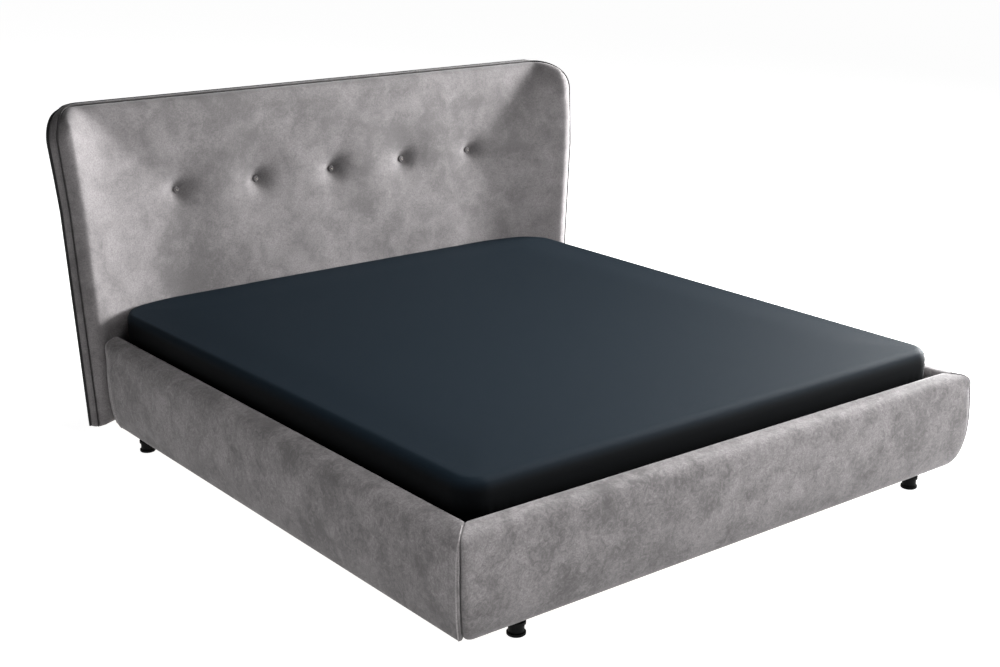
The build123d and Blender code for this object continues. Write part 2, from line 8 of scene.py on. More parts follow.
import bmesh
import bpy
import numpy as np
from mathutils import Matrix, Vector


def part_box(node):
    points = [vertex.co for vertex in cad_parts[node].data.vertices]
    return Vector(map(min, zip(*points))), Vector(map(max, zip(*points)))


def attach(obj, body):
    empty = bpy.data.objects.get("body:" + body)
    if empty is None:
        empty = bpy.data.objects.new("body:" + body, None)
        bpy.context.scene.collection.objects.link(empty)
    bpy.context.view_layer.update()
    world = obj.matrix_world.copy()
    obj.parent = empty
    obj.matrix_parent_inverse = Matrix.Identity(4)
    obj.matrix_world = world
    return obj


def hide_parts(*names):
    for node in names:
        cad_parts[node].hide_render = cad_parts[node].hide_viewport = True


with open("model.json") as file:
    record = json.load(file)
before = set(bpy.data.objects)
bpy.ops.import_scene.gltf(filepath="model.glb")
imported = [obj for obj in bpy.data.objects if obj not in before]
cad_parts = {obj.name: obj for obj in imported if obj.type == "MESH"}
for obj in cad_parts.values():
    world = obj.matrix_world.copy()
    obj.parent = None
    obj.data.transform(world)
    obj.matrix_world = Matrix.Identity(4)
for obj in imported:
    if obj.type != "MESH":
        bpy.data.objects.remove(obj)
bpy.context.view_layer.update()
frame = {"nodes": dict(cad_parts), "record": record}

logging.basicConfig(level=logging.INFO, format="%(message)s")
log = logging.getLogger("bed")

Span = tuple[float, float]
Triple = tuple[float, float, float]
Colour = tuple[float, float, float, float]
Noise = tuple[float, ...]
Face = tuple[int, ...]

# A rail's end gives its place along the rail for points at (depth, height).
End = Callable[[np.ndarray, np.ndarray], np.ndarray]


class Body(Enum):
    """The bodies that the pieces ride on."""

    FRAME = "frame"
    MATTRESS = "mattress"


class Wire:
    """A shader value that takes part in sums: each operator adds one Math node."""

    def __init__(self, shader: "Shader", socket: Any) -> None:
        """Wrap a socket.

        Args:
            shader: The material that the socket belongs to.
            socket: The output socket to read from.
        """
        self.shader = shader
        self.socket = socket

    def _math(self, operation: str, *values: Any) -> "Wire":
        """Add a Math node over the given values and return its result."""
        return self.shader.node("ShaderNodeMath", {"operation": operation}, dict(enumerate(values)))[0]

    def __add__(self, other: Any) -> "Wire":
        """Return self + other."""
        return self._math("ADD", self, other)

    __radd__ = __add__

    def __sub__(self, other: Any) -> "Wire":
        """Return self - other."""
        return self._math("SUBTRACT", self, other)

    def __rsub__(self, other: Any) -> "Wire":
        """Return other - self."""
        return self._math("SUBTRACT", other, self)

    def __mul__(self, other: Any) -> "Wire":
        """Return self * other."""
        return self._math("MULTIPLY", self, other)

    __rmul__ = __mul__


class Shader:
    """One material and the nodes that make its finish."""

    # Sockets that share their name with others are taken by number.
    OBJECT_PLACE = 3
    WAVE_HEIGHT = 1
    MIX_INPUTS = (0, 6, 7)
    MIXED_COLOUR = 2

    def __init__(self, name: str) -> None:
        """Make an empty material.

        Args:
            name: The material's name.
        """
        self.material = bpy.data.materials.new(name)
        self.material.use_nodes = True
        self.tree = self.material.node_tree
        self.tree.nodes.clear()

    def node(
        self, kind: str, settings: dict[str, Any] | None = None, inputs: dict[Any, Any] | None = None
    ) -> list[Wire]:
        """Add one node.

        Args:
            kind: The node's type.
            settings: Its settings.
            inputs: Values or wires for its sockets, by name or number.

        Returns:
            The node's outputs.
        """
        node = self.tree.nodes.new(kind)
        for key, value in (settings or {}).items():
            setattr(node, key, value)
        for key, value in (inputs or {}).items():
            socket = node.inputs[key]
            if isinstance(value, Wire):
                self.tree.links.new(value.socket, socket)
            else:
                socket.default_value = value
        return [Wire(self, output) for output in node.outputs]

    def place(self, stretch: Triple = (1, 1, 1), turn: Triple = (0, 0, 0)) -> Wire:
        """Return the place on the piece, stretched and turned.

        Args:
            stretch: The scale along X, Y and Z.
            turn: The turn about X, Y and Z, in radians.

        Returns:
            The place.
        """
        coordinates = self.node("ShaderNodeTexCoord")[self.OBJECT_PLACE]
        inputs = {"Vector": coordinates, "Scale": stretch, "Rotation": turn}
        return self.node("ShaderNodeMapping", None, inputs)[0]

    def height(self, place: Wire) -> Wire:
        """Return how far up a place lies."""
        return self.node("ShaderNodeSeparateXYZ", None, {"Vector": place})[2]

    def noise(
        self, place: Wire, scale: float, detail: float = 3, rough: float = 0.55, bend: float = 0
    ) -> Wire:
        """Return a noise value about 0.5.

        Args:
            place: The coordinates.
            scale: Features per metre.
            detail: How many finer layers are added.
            rough: How strong the finer layers are.
            bend: How much the pattern distorts itself.

        Returns:
            The noise.
        """
        inputs = {"Vector": place, "Scale": scale, "Detail": detail, "Roughness": rough, "Distortion": bend}
        return self.node("ShaderNodeTexNoise", None, inputs)[0]

    def cells(self, place: Wire, scale: float) -> Wire:
        """Return the distance to the nearest of many scattered points."""
        return self.node("ShaderNodeTexVoronoi", {"feature": "F1"}, {"Vector": place, "Scale": scale})[0]

    def waves(self, place: Wire, scale: float, axis: str) -> Wire:
        """Return even waves along the axis X, Y or Z."""
        inputs = {"Vector": place, "Scale": scale}
        return self.node("ShaderNodeTexWave", {"bands_direction": axis}, inputs)[self.WAVE_HEIGHT]

    def steps(self, value: Wire, low: float, high: float) -> Wire:
        """Return 0 below low, 1 above high, with a smooth change between.

        Args:
            value: The value.
            low: Where the change starts.
            high: Where it ends.

        Returns:
            The changed value.
        """
        settings = {"interpolation_type": "SMOOTHSTEP"}
        inputs = {"Value": value, "From Min": low, "From Max": high}
        return self.node("ShaderNodeMapRange", settings, inputs)[0]

    def mix(self, factor: Wire, first: Any, second: Any) -> Wire:
        """Return a colour between two colours."""
        inputs = dict(zip(self.MIX_INPUTS, (factor, first, second)))
        return self.node("ShaderNodeMix", {"data_type": "RGBA"}, inputs)[self.MIXED_COLOUR]

    def bump(self, height: Wire, distance: float, strength: float = 1, under: Wire | None = None) -> Wire:
        """Return a normal bent by a height.

        Args:
            height: The height, from 0 to 1.
            distance: How far up 1 reaches, in metres.
            strength: How strongly it shows.
            under: A bump that this one lies on.

        Returns:
            The normal.
        """
        inputs: dict[str, Any] = {"Height": height, "Distance": distance, "Strength": strength}
        if under is not None:
            inputs["Normal"] = under
        return self.node("ShaderNodeBump", None, inputs)[0]

    def finish(self, **sockets: Any) -> bpy.types.Material:
        """Close the material with one Principled shader.

        Args:
            sockets: The shader's values, with _ for the spaces in their names.

        Returns:
            The material.
        """
        inputs = {name.replace("_", " "): value for name, value in sockets.items()}
        surface = self.node("ShaderNodeBsdfPrincipled", None, inputs)[0]
        self.node("ShaderNodeOutputMaterial", None, {"Surface": surface})
        return self.material


def grey(value: float) -> Colour:
    """Return a grey."""
    return (value, value, value, 1)


def darker(colour: Colour, share: float) -> Colour:
    """Return a colour at a share of its lightness."""
    red, green, blue = (part * share for part in colour[:3])
    return (red, green, blue, 1)


@dataclass(frozen=True)
class Finish:
    """A finish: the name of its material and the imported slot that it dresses."""

    name: str
    slot: str

    def material(self) -> bpy.types.Material:
        """Make the finish's material."""
        raise NotImplementedError


@dataclass(frozen=True)
class Velour(Finish):
    """Mottled velour with a short nap that has been brushed this way and that."""

    tone: float = 0.179
    mottle_share: float = 0.27
    fine_share: float = 0.30
    grain_share: float = 0.50
    scratch_share: float = 0.26
    # Painted shade towards the floor: the share of colour it keeps (1 for none), and the heights where it
    # fades out.
    painted_shade_share: float = 1.0
    painted_shade_heights: Span = (0.02, 0.20)
    tint: Colour = (1.045, 0.985, 1.0, 1)
    blotch: float = 0.10
    nap: float = 0.0045
    # Each layer of the mottling: features per blotch, finer layers, their strength, and bend.
    large_mottle: Noise = (0.35, 2, 0.45, 0.2)
    middle_mottle: Noise = (1.2, 3, 0.5, 0.5)
    small_mottle: Noise = (4.5, 6, 0.72, 1.4)
    large_share: float = 0.45
    mottle_levels: Span = (0.36, 0.64)
    grain_levels: Span = (0.38, 0.66)
    grain_shade: float = 0.5
    # Each brush stroke: how it is stretched and turned, features per metre, and levels.
    strokes: tuple[tuple[Triple, Triple, float, Span], ...] = (
        ((1, 1, 6), (0.4, 0.7, 0.3), 60, (0.55, 0.70)),
        ((1, 7, 1), (0.9, 0.2, 1.1), 52, (0.56, 0.71)),
    )
    stroke_noise: Noise = (4, 0.65, 0.9)
    brushed_levels: Span = (0.40, 0.62)
    scratch_shade: float = 1.6
    # The painted shade's share of the tone.
    painted_shade_tone: float = 0.15
    # Each bump: its height in metres and its strength.
    soft_bump: Span = (0.0006, 0.35)
    nap_bump: Span = (0.0004, 0.5)

    def shade(self, share: float) -> Colour:
        """Return the velour's colour at a share of its tone."""
        return darker(self.tint, self.tone * share)

    def mottle(self, shader: Shader, place: Wire, layer: Noise) -> Wire:
        """Return one layer of the mottling."""
        scale, *values = layer
        return shader.noise(place, scale / self.blotch, *values)

    def scratches(self, shader: Shader) -> Wire:
        """Return where a brush has lifted the nap.

        Args:
            shader: The material that is being made.

        Returns:
            The sum of the two brush strokes.
        """
        marks = []
        for stretch, turn, scale, levels in self.strokes:
            stroke = shader.noise(shader.place(stretch, turn), scale, *self.stroke_noise)
            marks.append(shader.steps(stroke, *levels))
        return marks[0] + marks[1]

    def material(self) -> bpy.types.Material:
        """Return the velour, with a painted shade darkening it below the given heights where its share is
        below 1.

        Returns:
            The material.
        """
        shader = Shader(self.name)
        place = shader.place()
        large = self.mottle(shader, place, self.large_mottle)
        middle = self.mottle(shader, place, self.middle_mottle)
        small = self.mottle(shader, place, self.small_mottle)
        grain = shader.noise(place, 1 / self.nap, 3, 0.7)
        wide = 1 - self.fine_share
        cloud = large * (wide * self.large_share) + middle * (wide * (1 - self.large_share))
        level = shader.steps(cloud + small * self.fine_share, *self.mottle_levels)
        colour = shader.mix(level, self.shade(1 - self.mottle_share), self.shade(1 + self.mottle_share))
        deep = shader.steps(grain, *self.grain_levels) * self.grain_share
        colour = shader.mix(deep, colour, self.shade(self.grain_shade))
        brushed = self.scratches(shader) * shader.steps(middle, *self.brushed_levels)
        colour = shader.mix(brushed * self.scratch_share, colour, self.shade(self.scratch_shade))
        # Painted shade: the velour is darkened low down, where shade falls near the floor.
        if self.painted_shade_share < 1:
            shadow = 1 - shader.steps(shader.height(place), *self.painted_shade_heights)
            colour = shader.mix(shadow * (1 - self.painted_shade_share), colour, self.shade(self.painted_shade_tone))
        return shader.finish(
            Base_Color=colour,
            Roughness=0.92,
            Sheen_Weight=0.22,
            Sheen_Roughness=0.40,
            Sheen_Tint=grey(0.95),
            Specular_IOR_Level=0.2,
            Normal=shader.bump(grain, *self.nap_bump, shader.bump(middle, *self.soft_bump)),
        )


@dataclass(frozen=True)
class WovenCloth(Finish):
    """A plain woven cloth, such as a lining, a sheet or a ticking."""

    colour: Colour
    thread: float = 0.0006
    roughness: float = 0.85
    sheen: float = 0.1
    crumple: float = 0.0008
    gloss: float = 0.35
    gloss_tint: Colour = (1, 1, 1, 1)
    # Painted shade on the sides: the grey's share of the tone (1 for none), and the heights where it gives
    # way to the cloth.
    painted_shade_share: float = 1.0
    painted_shade_heights: Span = (0.0, 1.0)
    deep_share: float = 0.72
    wave_share: float = 0.31
    weave_height: float = 0.00012

    def material(self) -> bpy.types.Material:
        """Return the cloth, with a painted shade below the given heights: a plain grey at a share of its
        tone.

        Returns:
            The material.
        """
        shader = Shader(self.name)
        place = shader.place()
        warp, weft, rise = (shader.waves(place, self.wave_share / self.thread, axis) for axis in "XYZ")
        weave = (warp + weft + rise) * 0.33
        folds = shader.noise(place, 14, 4, 0.5, 0.4)
        fuzz = shader.noise(place, 380, 2, 0.6)
        colour = shader.mix(weave * 0.5 + fuzz * 0.5, darker(self.colour, self.deep_share), self.colour)
        # Painted shade: below the top's edge the cloth turns a dark grey for the shade on its sides.
        if self.painted_shade_share < 1:
            low = grey(sum(self.colour[:3]) / 3 * self.painted_shade_share)
            colour = shader.mix(shader.steps(shader.height(place), *self.painted_shade_heights), low, colour)
        return shader.finish(
            Base_Color=colour,
            Roughness=self.roughness,
            Sheen_Weight=self.sheen,
            Sheen_Roughness=0.4,
            Specular_IOR_Level=self.gloss,
            Specular_Tint=self.gloss_tint,
            Normal=shader.bump(weave, self.weave_height, 0.5, shader.bump(folds, self.crumple, 0.6)),
        )


@dataclass(frozen=True)
class Wood(Finish):
    """Planed wood with its grain along one axis."""

    colour: Colour
    stretch: Triple = (1, 0.06, 1)
    rings: float = 55
    roughness: float = 0.62
    figure_share: float = 0.35
    fibre_share: float = 12
    dark_share: float = 0.62

    def material(self) -> bpy.types.Material:
        """Return the wood.

        Returns:
            The material.
        """
        shader = Shader(self.name)
        place = shader.place(self.stretch)
        figure = shader.noise(place, self.rings * self.figure_share, 4, 0.55, 1.2)
        fibre = shader.noise(place, self.rings * self.fibre_share, 3, 0.6)
        dark = darker(self.colour, self.dark_share)
        colour = shader.mix(shader.steps(figure, 0.38, 0.66), self.colour, dark)
        colour = shader.mix(fibre * 0.35, colour, dark)
        bumps = shader.bump(fibre, 0.0002, 0.5)
        return shader.finish(Base_Color=colour, Roughness=self.roughness + fibre * 0.12, Normal=bumps)


@dataclass(frozen=True)
class PressedBoard(Finish):
    """Board pressed from chips of wood."""

    colour: Colour
    chips_per_metre: float = 260
    dark_share: float = 0.6

    def material(self) -> bpy.types.Material:
        """Return the board.

        Returns:
            The material.
        """
        shader = Shader(self.name)
        place = shader.place()
        chips = shader.cells(place, self.chips_per_metre)
        shade = shader.noise(place, 90, 4, 0.6)
        level = shader.steps(chips * 0.6 + shade * 0.6, 0.3, 0.9)
        colour = shader.mix(level, self.colour, darker(self.colour, self.dark_share))
        return shader.finish(Base_Color=colour, Roughness=0.85, Normal=shader.bump(chips, 0.0003, 0.4))


@dataclass(frozen=True)
class Moulded(Finish):
    """Moulded plastic, rubber, twine or a coated metal with a fine even grain."""

    colour: Colour
    roughness: float = 0.45
    grain: float = 900
    metallic: float = 0.0
    gloss: float = 0.5
    dark_share: float = 0.8

    def material(self) -> bpy.types.Material:
        """Return the plastic, rubber, twine or metal.

        Returns:
            The material.
        """
        shader = Shader(self.name)
        place = shader.place()
        grain = shader.noise(place, self.grain, 2, 0.6)
        wear = shader.noise(place, 30, 4, 0.6)
        return shader.finish(
            Base_Color=shader.mix(wear, darker(self.colour, self.dark_share), self.colour),
            Roughness=self.roughness + (wear - 0.5) * 0.2,
            Metallic=self.metallic,
            Specular_IOR_Level=self.gloss,
            Normal=shader.bump(grain, 0.0001, 0.4),
        )


@dataclass(frozen=True)
class Foam(Finish):
    """Open-cell padding."""

    colour: Colour
    cells_per_metre: float = 700
    dark_share: float = 0.7

    def material(self) -> bpy.types.Material:
        """Return the foam.

        Returns:
            The material.
        """
        shader = Shader(self.name)
        cell = shader.cells(shader.place(), self.cells_per_metre)
        dark = darker(self.colour, self.dark_share)
        colour = shader.mix(shader.steps(cell, 0.1, 0.7), dark, self.colour)
        return shader.finish(Base_Color=colour, Roughness=0.95, Normal=shader.bump(cell, 0.0006, 0.7))


VELOUR = Velour("velour", "velour")
VELOUR_BAND = Velour("velour_band", "velour_band", tone=0.15)
# The rails' velour carries a painted shade towards the floor.
RAIL_VELOUR = Velour(
    "rail_velour",
    "velour",
    tone=0.187,
    mottle_share=0.42,
    fine_share=0.46,
    scratch_share=0.36,
    painted_shade_share=0.60,
)
PIPING_VELOUR = Velour("piping_velour", "velour", tone=0.30, mottle_share=0.1)
# Painted shade: the headboard's pipings are velour painted nearly black, standing for the shade in the seams'
# grooves.
SEAM_SHADE_VELOUR = Velour("seam_velour", "velour_band", tone=0.035, mottle_share=0.1)
BACK_CLOTH = WovenCloth("back_cloth", "back_cloth", (0.016, 0.016, 0.018, 1), thread=0.0009)
SEAM_THREAD = Moulded("seam_thread", "velour", grey(0.10), 0.8)
# The sheet's sides carry a painted shade: a dark grey below the top's edge.
SHEET_CLOTH = WovenCloth(
    "sheet_cloth",
    "sheet_cloth",
    (0.0072, 0.0128, 0.0188, 1),
    thread=0.0004,
    roughness=0.70,
    sheen=0.0,
    crumple=0.0003,
    gloss=0.06,
    gloss_tint=(0.60, 0.80, 1.0, 1),
    painted_shade_share=0.25,
    painted_shade_heights=(0.382, 0.418),
)
TICKING = WovenCloth("mattress_ticking", "mattress_ticking", grey(0.72), thread=0.0012)
ZINC_STEEL = Moulded("zinc_steel", "zinc_steel", (0.55, 0.56, 0.58, 1), 0.32, 300, 1.0)
PLYWOOD = Wood("plywood", "plywood", (0.62, 0.46, 0.29, 1), (0.06, 1, 1))
CHIPBOARD = PressedBoard("chipboard", "chipboard", (0.52, 0.40, 0.26, 1))
SPRUCE = Wood("spruce", "spruce", (0.66, 0.50, 0.31, 1))

# The finish of each packed slot.
FINISHES = (
    VELOUR,
    VELOUR_BAND,
    BACK_CLOTH,
    TICKING,
    SHEET_CLOTH,
    PLYWOOD,
    CHIPBOARD,
    SPRUCE,
    Wood("beech", "beech", (0.68, 0.50, 0.34, 1), (0.06, 1, 1), 80, 0.35),
    Foam("foam", "foam", (0.72, 0.70, 0.58, 1)),
    Moulded("cord", "cord", (0.62, 0.58, 0.5, 1), 0.8),
    Moulded("toggle_plastic", "toggle_plastic", (0.6, 0.59, 0.55, 1)),
    Moulded("black_plastic", "black_plastic", (0.003, 0.003, 0.0033, 1), 0.55, gloss=0.08),
    Moulded("black_rubber", "black_rubber", (0.018, 0.018, 0.018, 1), 0.7),
    ZINC_STEEL,
    Moulded("black_steel", "black_steel", (0.016, 0.016, 0.016, 1), 0.42),
)

MADE: dict[str, bpy.types.Material] = {}


def material_of(finish: Finish) -> bpy.types.Material:
    """Return the finish's material, made once.

    Args:
        finish: The finish.

    Returns:
        The material.
    """
    if finish.name not in MADE:
        MADE[finish.name] = finish.material()
    return MADE[finish.name]


def mesh_of(name: str, points: np.ndarray, faces: list[Face]) -> bpy.types.Mesh:
    """Make a smooth-shaded mesh.

    Args:
        name: The mesh's name.
        points: One row of X, Y, Z for each point.
        faces: The points of each face, anticlockwise seen from outside.

    Returns:
        The mesh.
    """
    mesh = bpy.data.meshes.new(name)
    mesh.from_pydata(np.asarray(points).tolist(), [], [tuple(int(i) for i in face) for face in faces])
    smooth(mesh)
    mesh.update()
    return mesh


def smooth(mesh: bpy.types.Mesh) -> None:
    """Shade a mesh smoothly."""
    mesh.polygons.foreach_set("use_smooth", [True] * len(mesh.polygons))


def settle(
    mesh: bpy.types.Mesh, body: Body, finish: Finish, replaced: tuple[str, ...] = ()
) -> bpy.types.Object:
    """Put a finished mesh into the scene.

    Args:
        mesh: The mesh, in place.
        body: The body that it rides on.
        finish: The finish that it wears.
        replaced: The nodes that it stands for.

    Returns:
        The piece.
    """
    piece = bpy.data.objects.new(mesh.name, mesh)
    bpy.context.scene.collection.objects.link(piece)
    if not mesh.materials:
        mesh.materials.append(material_of(finish))
    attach(piece, body.value)
    if replaced:
        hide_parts(*replaced)
    log.info("%s: %d faces", piece.name, len(mesh.polygons))
    return piece


def merge(mesh: bpy.types.Mesh, within: float = 1e-6) -> None:
    """Join points that lie on each other and turn the faces outwards.

    Args:
        mesh: The mesh.
        within: How near to each other such points lie, in metres.
    """
    work = bmesh.new()
    work.from_mesh(mesh)
    bmesh.ops.remove_doubles(work, verts=work.verts, dist=within)
    bmesh.ops.dissolve_degenerate(work, edges=work.edges, dist=within)
    bmesh.ops.recalc_face_normals(work, faces=work.faces)
    work.to_mesh(mesh)
    work.free()
    smooth(mesh)


def outward(mesh: bpy.types.Mesh) -> None:
    """Turn a closed mesh's faces outwards."""
    merge(mesh, 1e-7)


def joined(name: str, meshes: list[bpy.types.Mesh]) -> bpy.types.Mesh:
    """Join meshes into one and delete them.

    Args:
        name: The joined mesh's name.
        meshes: The meshes.

    Returns:
        The joined mesh.
    """
    points: list[tuple[float, ...]] = []
    faces: list[Face] = []
    for mesh in meshes:
        start = len(points)
        points += [tuple(vertex.co) for vertex in mesh.vertices]
        faces += [tuple(index + start for index in face.vertices) for face in mesh.polygons]
        bpy.data.meshes.remove(mesh)
    return mesh_of(name, np.array(points), faces)


def ring_faces(count: int, around: int, start: int = 0) -> list[Face]:
    """Return the faces between rings of points that follow each other.

    Args:
        count: How many rings there are.
        around: How many points each has.
        start: The number of the first ring's first point.

    Returns:
        The faces.
    """
    faces = []
    for ring in range(count - 1):
        for index in range(around):
            a, b = (start + ring * around + place for place in (index, (index + 1) % around))
            faces.append((a, b, b + around, a + around))
    return faces


def tube_mesh(name: str, rings: np.ndarray) -> bpy.types.Mesh:
    """Make a closed tube through rings of points, with flat ends.

    Args:
        name: The mesh's name.
        rings: Points by ring and by place round it.

    Returns:
        The mesh, facing outwards.
    """
    count, around = rings.shape[:2]
    faces = ring_faces(count, around)
    faces.append(tuple(reversed(range(around))))
    faces.append(tuple((count - 1) * around + index for index in range(around)))
    mesh = mesh_of(name, rings.reshape(-1, 3), faces)
    outward(mesh)
    return mesh


def pipe(name: str, line: np.ndarray, radius: float, finish: Finish, sides: int = 10) -> bpy.types.Object:
    """Make a round piping along a line.

    Args:
        name: The piece's name.
        line: The line's points.
        radius: The piping's radius.
        finish: Its finish.
        sides: How many sides its round has.

    Returns:
        The piece.
    """
    # A way that no piping runs along.
    aside = np.array([0.0, 1.0, 0.02])
    along = np.gradient(line, axis=0)
    along /= np.linalg.norm(along, axis=1, keepdims=True)
    side = np.cross(along, aside)
    side /= np.linalg.norm(side, axis=1, keepdims=True)
    up = np.cross(side, along)
    turns = np.linspace(0, math.tau, sides, endpoint=False)
    rings = np.stack([line + radius * (side * math.cos(t) + up * math.sin(t)) for t in turns], axis=1)
    return settle(tube_mesh(name, rings), Body.FRAME, finish)


def closed_slab(front: np.ndarray, back: np.ndarray, kept: np.ndarray) -> tuple[np.ndarray, list[Face]]:
    """Close two grids of points into one skin.

    Args:
        front: The points in front, which face -Y with rows going up.
        back: The points behind them.
        kept: Which cells of the grid are there.

    Returns:
        The points and the faces.
    """
    rows, columns = front.shape[:2]
    number = np.arange(rows * columns).reshape(rows, columns)
    behind = number + rows * columns
    there = np.pad(kept, 1)
    faces: list[Face] = []
    for row, column in zip(*np.nonzero(kept)):
        corners = [(row, column), (row, column + 1), (row + 1, column + 1), (row + 1, column)]
        faces.append(tuple(number[corner] for corner in corners))
        faces.append(tuple(behind[corners[index]] for index in (0, 3, 2, 1)))
    for row, column in zip(*np.nonzero(kept)):
        corners = [(row, column), (row, column + 1), (row + 1, column + 1), (row + 1, column)]
        beyond = [(row, column + 1), (row + 1, column + 2), (row + 2, column + 1), (row + 1, column)]
        for index, neighbour in enumerate(beyond):
            if not there[neighbour]:
                p, q = corners[index], corners[(index + 1) % 4]
                faces.append((number[q], number[p], behind[p], behind[q]))
    points = np.concatenate([front.reshape(-1, 3), back.reshape(-1, 3)])
    used = np.unique(np.array(faces))
    renumber = np.zeros(len(points), int)
    renumber[used] = np.arange(len(used))
    return points[used], [tuple(renumber[list(face)]) for face in faces]


class Waves:
    """A smooth random height over a plane: a seeded sum of waves."""

    def __init__(self, seed: int, shortest: float, longest: float, count: int = 24) -> None:
        """Choose the waves.

        Args:
            seed: The seed of the choice.
            shortest: The shortest wave, in metres.
            longest: The longest wave, in metres.
            count: How many waves are added.
        """
        draw = np.random.default_rng(seed)
        length = shortest * (longest / shortest) ** draw.random(count)
        angle = draw.random(count) * math.tau
        self.pull = np.stack([np.cos(angle), np.sin(angle)]) * math.tau / length
        self.phase = draw.random(count) * math.tau
        self.weight = length / np.sqrt(np.sum(length**2) / 2)

    def __call__(self, u: np.ndarray, v: np.ndarray) -> np.ndarray:
        """Return the height, mostly between -1 and 1, at places u, v.

        Args:
            u: The places across, in metres.
            v: The places along.

        Returns:
            The heights.
        """
        total = np.zeros(np.broadcast(u, v).shape)
        for (pull_u, pull_v), phase, weight in zip(self.pull.T, self.phase, self.weight):
            total += weight * np.sin(u * pull_u + v * pull_v + phase)
        return total


def smooth_step(value: np.ndarray | float) -> np.ndarray:
    """Return 0 below 0, 1 above 1, and a smooth rise between."""
    share = np.clip(value, 0, 1)
    return share * share * (3 - 2 * share)


def spaced(start: float, end: float, step: float) -> np.ndarray:
    """Return even places from start up to, and without, end."""
    count = max(1, round(abs(end - start) / step))
    return np.linspace(start, end, count, endpoint=False)


def thinned(places: np.ndarray, least: float) -> np.ndarray:
    """Return sorted places at least so far apart, keeping both ends.

    Args:
        places: The places, in order.
        least: The least distance between two of them.

    Returns:
        The places that are kept.
    """
    kept = [places[0]]
    for place in places[1:-1]:
        if place - kept[-1] >= least and places[-1] - place >= least * 0.5:
            kept.append(place)
    return np.array(kept + [places[-1]])


def ordered(*parts: Any, digits: int = 6) -> np.ndarray:
    """Return all given places in order, each once."""
    return np.unique(np.round(np.concatenate(parts), digits))


def middles(table: np.ndarray) -> np.ndarray:
    """Return the mean of each cell's four corners."""
    return (table[:-1, :-1] + table[1:, :-1] + table[:-1, 1:] + table[1:, 1:]) / 4


def unit(ways: np.ndarray) -> np.ndarray:
    """Return directions of length one."""
    return ways / np.linalg.norm(ways, axis=-1, keepdims=True)


def curve(points: list[Span], count: int) -> np.ndarray:
    """Return places on the Bezier curve of 2 to 4 control points, without the last one.

    Args:
        points: The control points.
        count: How many places are made.

    Returns:
        One row for each place.
    """
    shares = np.linspace(0, 1, count, endpoint=False)[:, None]
    rows = [np.tile(np.array(point, float), (count, 1)) for point in points]
    while len(rows) > 1:
        rows = [low * (1 - shares) + high * shares for low, high in zip(rows, rows[1:])]
    return rows[0]


@dataclass
class RoundedPlan:
    """A grid over a rectangle with rounded corners, its lines parallel to the edge."""

    half: float
    low: float
    high: float
    low_radius: float
    high_radius: float
    step: float
    edge: float
    edge_steps: int = 8

    def _inward(self, reach: float) -> np.ndarray:
        """Return places from the edge inward to reach, close together at the edge.

        Args:
            reach: How far inward the places go.

        Returns:
            The distances from the edge.
        """
        angles = np.linspace(0, math.pi / 2, self.edge_steps, endpoint=False)
        near = self.edge * (1 - np.cos(angles))
        return np.concatenate([near, spaced(self.edge, reach, self.step)])

    def _corners(self) -> Iterator[tuple[float, int, float]]:
        """Give the radius, the sign and the level of the low and the high corners, if round.

        Returns:
            The rounded corners, one pair at a time.
        """
        for radius, sign, level in ((self.low_radius, -1, self.low), (self.high_radius, 1, self.high)):
            if radius > 0:
                yield radius, sign, level

    def lines(self, extra: tuple[float, ...] = ()) -> tuple[np.ndarray, np.ndarray]:
        """Return the grid's places across and along, before the corners are rounded.

        Args:
            extra: Further places along that need a line.

        Returns:
            The places across and the places along.
        """
        least = self.edge + self.step
        low_reach, high_reach = max(self.low_radius, least), max(self.high_radius, least)
        reach = max(low_reach, high_reach)
        inner = spaced(0, self.half - reach, self.step)
        right = np.concatenate([inner, [self.half - reach], np.flip(self.half - self._inward(reach))])
        across = np.concatenate([-np.flip(right), right[1:]])
        low = self.low + self._inward(low_reach)
        high = np.flip(self.high - self._inward(high_reach))
        middle = spaced(self.low + low_reach, self.high - high_reach, self.step)
        along = np.concatenate([low, middle, [self.high - high_reach], high])
        return ordered(across, digits=7), ordered(along, extra, digits=7)

    def grid(self, across: np.ndarray, along: np.ndarray) -> tuple[np.ndarray, np.ndarray]:
        """Lay a grid on the given lines, with the corners rounded.

        Args:
            across: The places of the lines that run along.
            along: The places of the lines that run across.

        Returns:
            The points as two tables, across and along.
        """
        u, v = np.meshgrid(across, along)
        for radius, sign, level in self._corners():
            a = (np.abs(u) - (self.half - radius)) / radius
            b = (sign * (v - level) + radius) / radius
            inside = (a > 0) & (b > 0)
            ring = np.maximum(a, b)
            safe_a = np.where(a > 0, a, 1)
            safe_b = np.where(b > 0, b, 1)
            turn = np.where(a > b, math.pi / 4 * b / safe_a, math.pi / 2 - math.pi / 4 * a / safe_b)
            new_u = np.sign(u) * (self.half - radius + radius * ring * np.cos(turn))
            new_v = level - sign * radius + sign * radius * ring * np.sin(turn)
            u, v = np.where(inside, new_u, u), np.where(inside, new_v, v)
        return u, v

    def inset(self, u: np.ndarray, v: np.ndarray) -> np.ndarray:
        """Return how far points lie inside the edge.

        Args:
            u: The points' places across.
            v: Their places along.

        Returns:
            The distances, 0 outside.
        """
        distance = np.minimum(self.half - np.abs(u), np.minimum(v - self.low, self.high - v))
        for radius, sign, level in self._corners():
            a = np.abs(u) - (self.half - radius)
            b = sign * (v - level) + radius
            distance = np.where((a > 0) & (b > 0), radius - np.hypot(a, b), distance)
        return np.maximum(distance, 0)


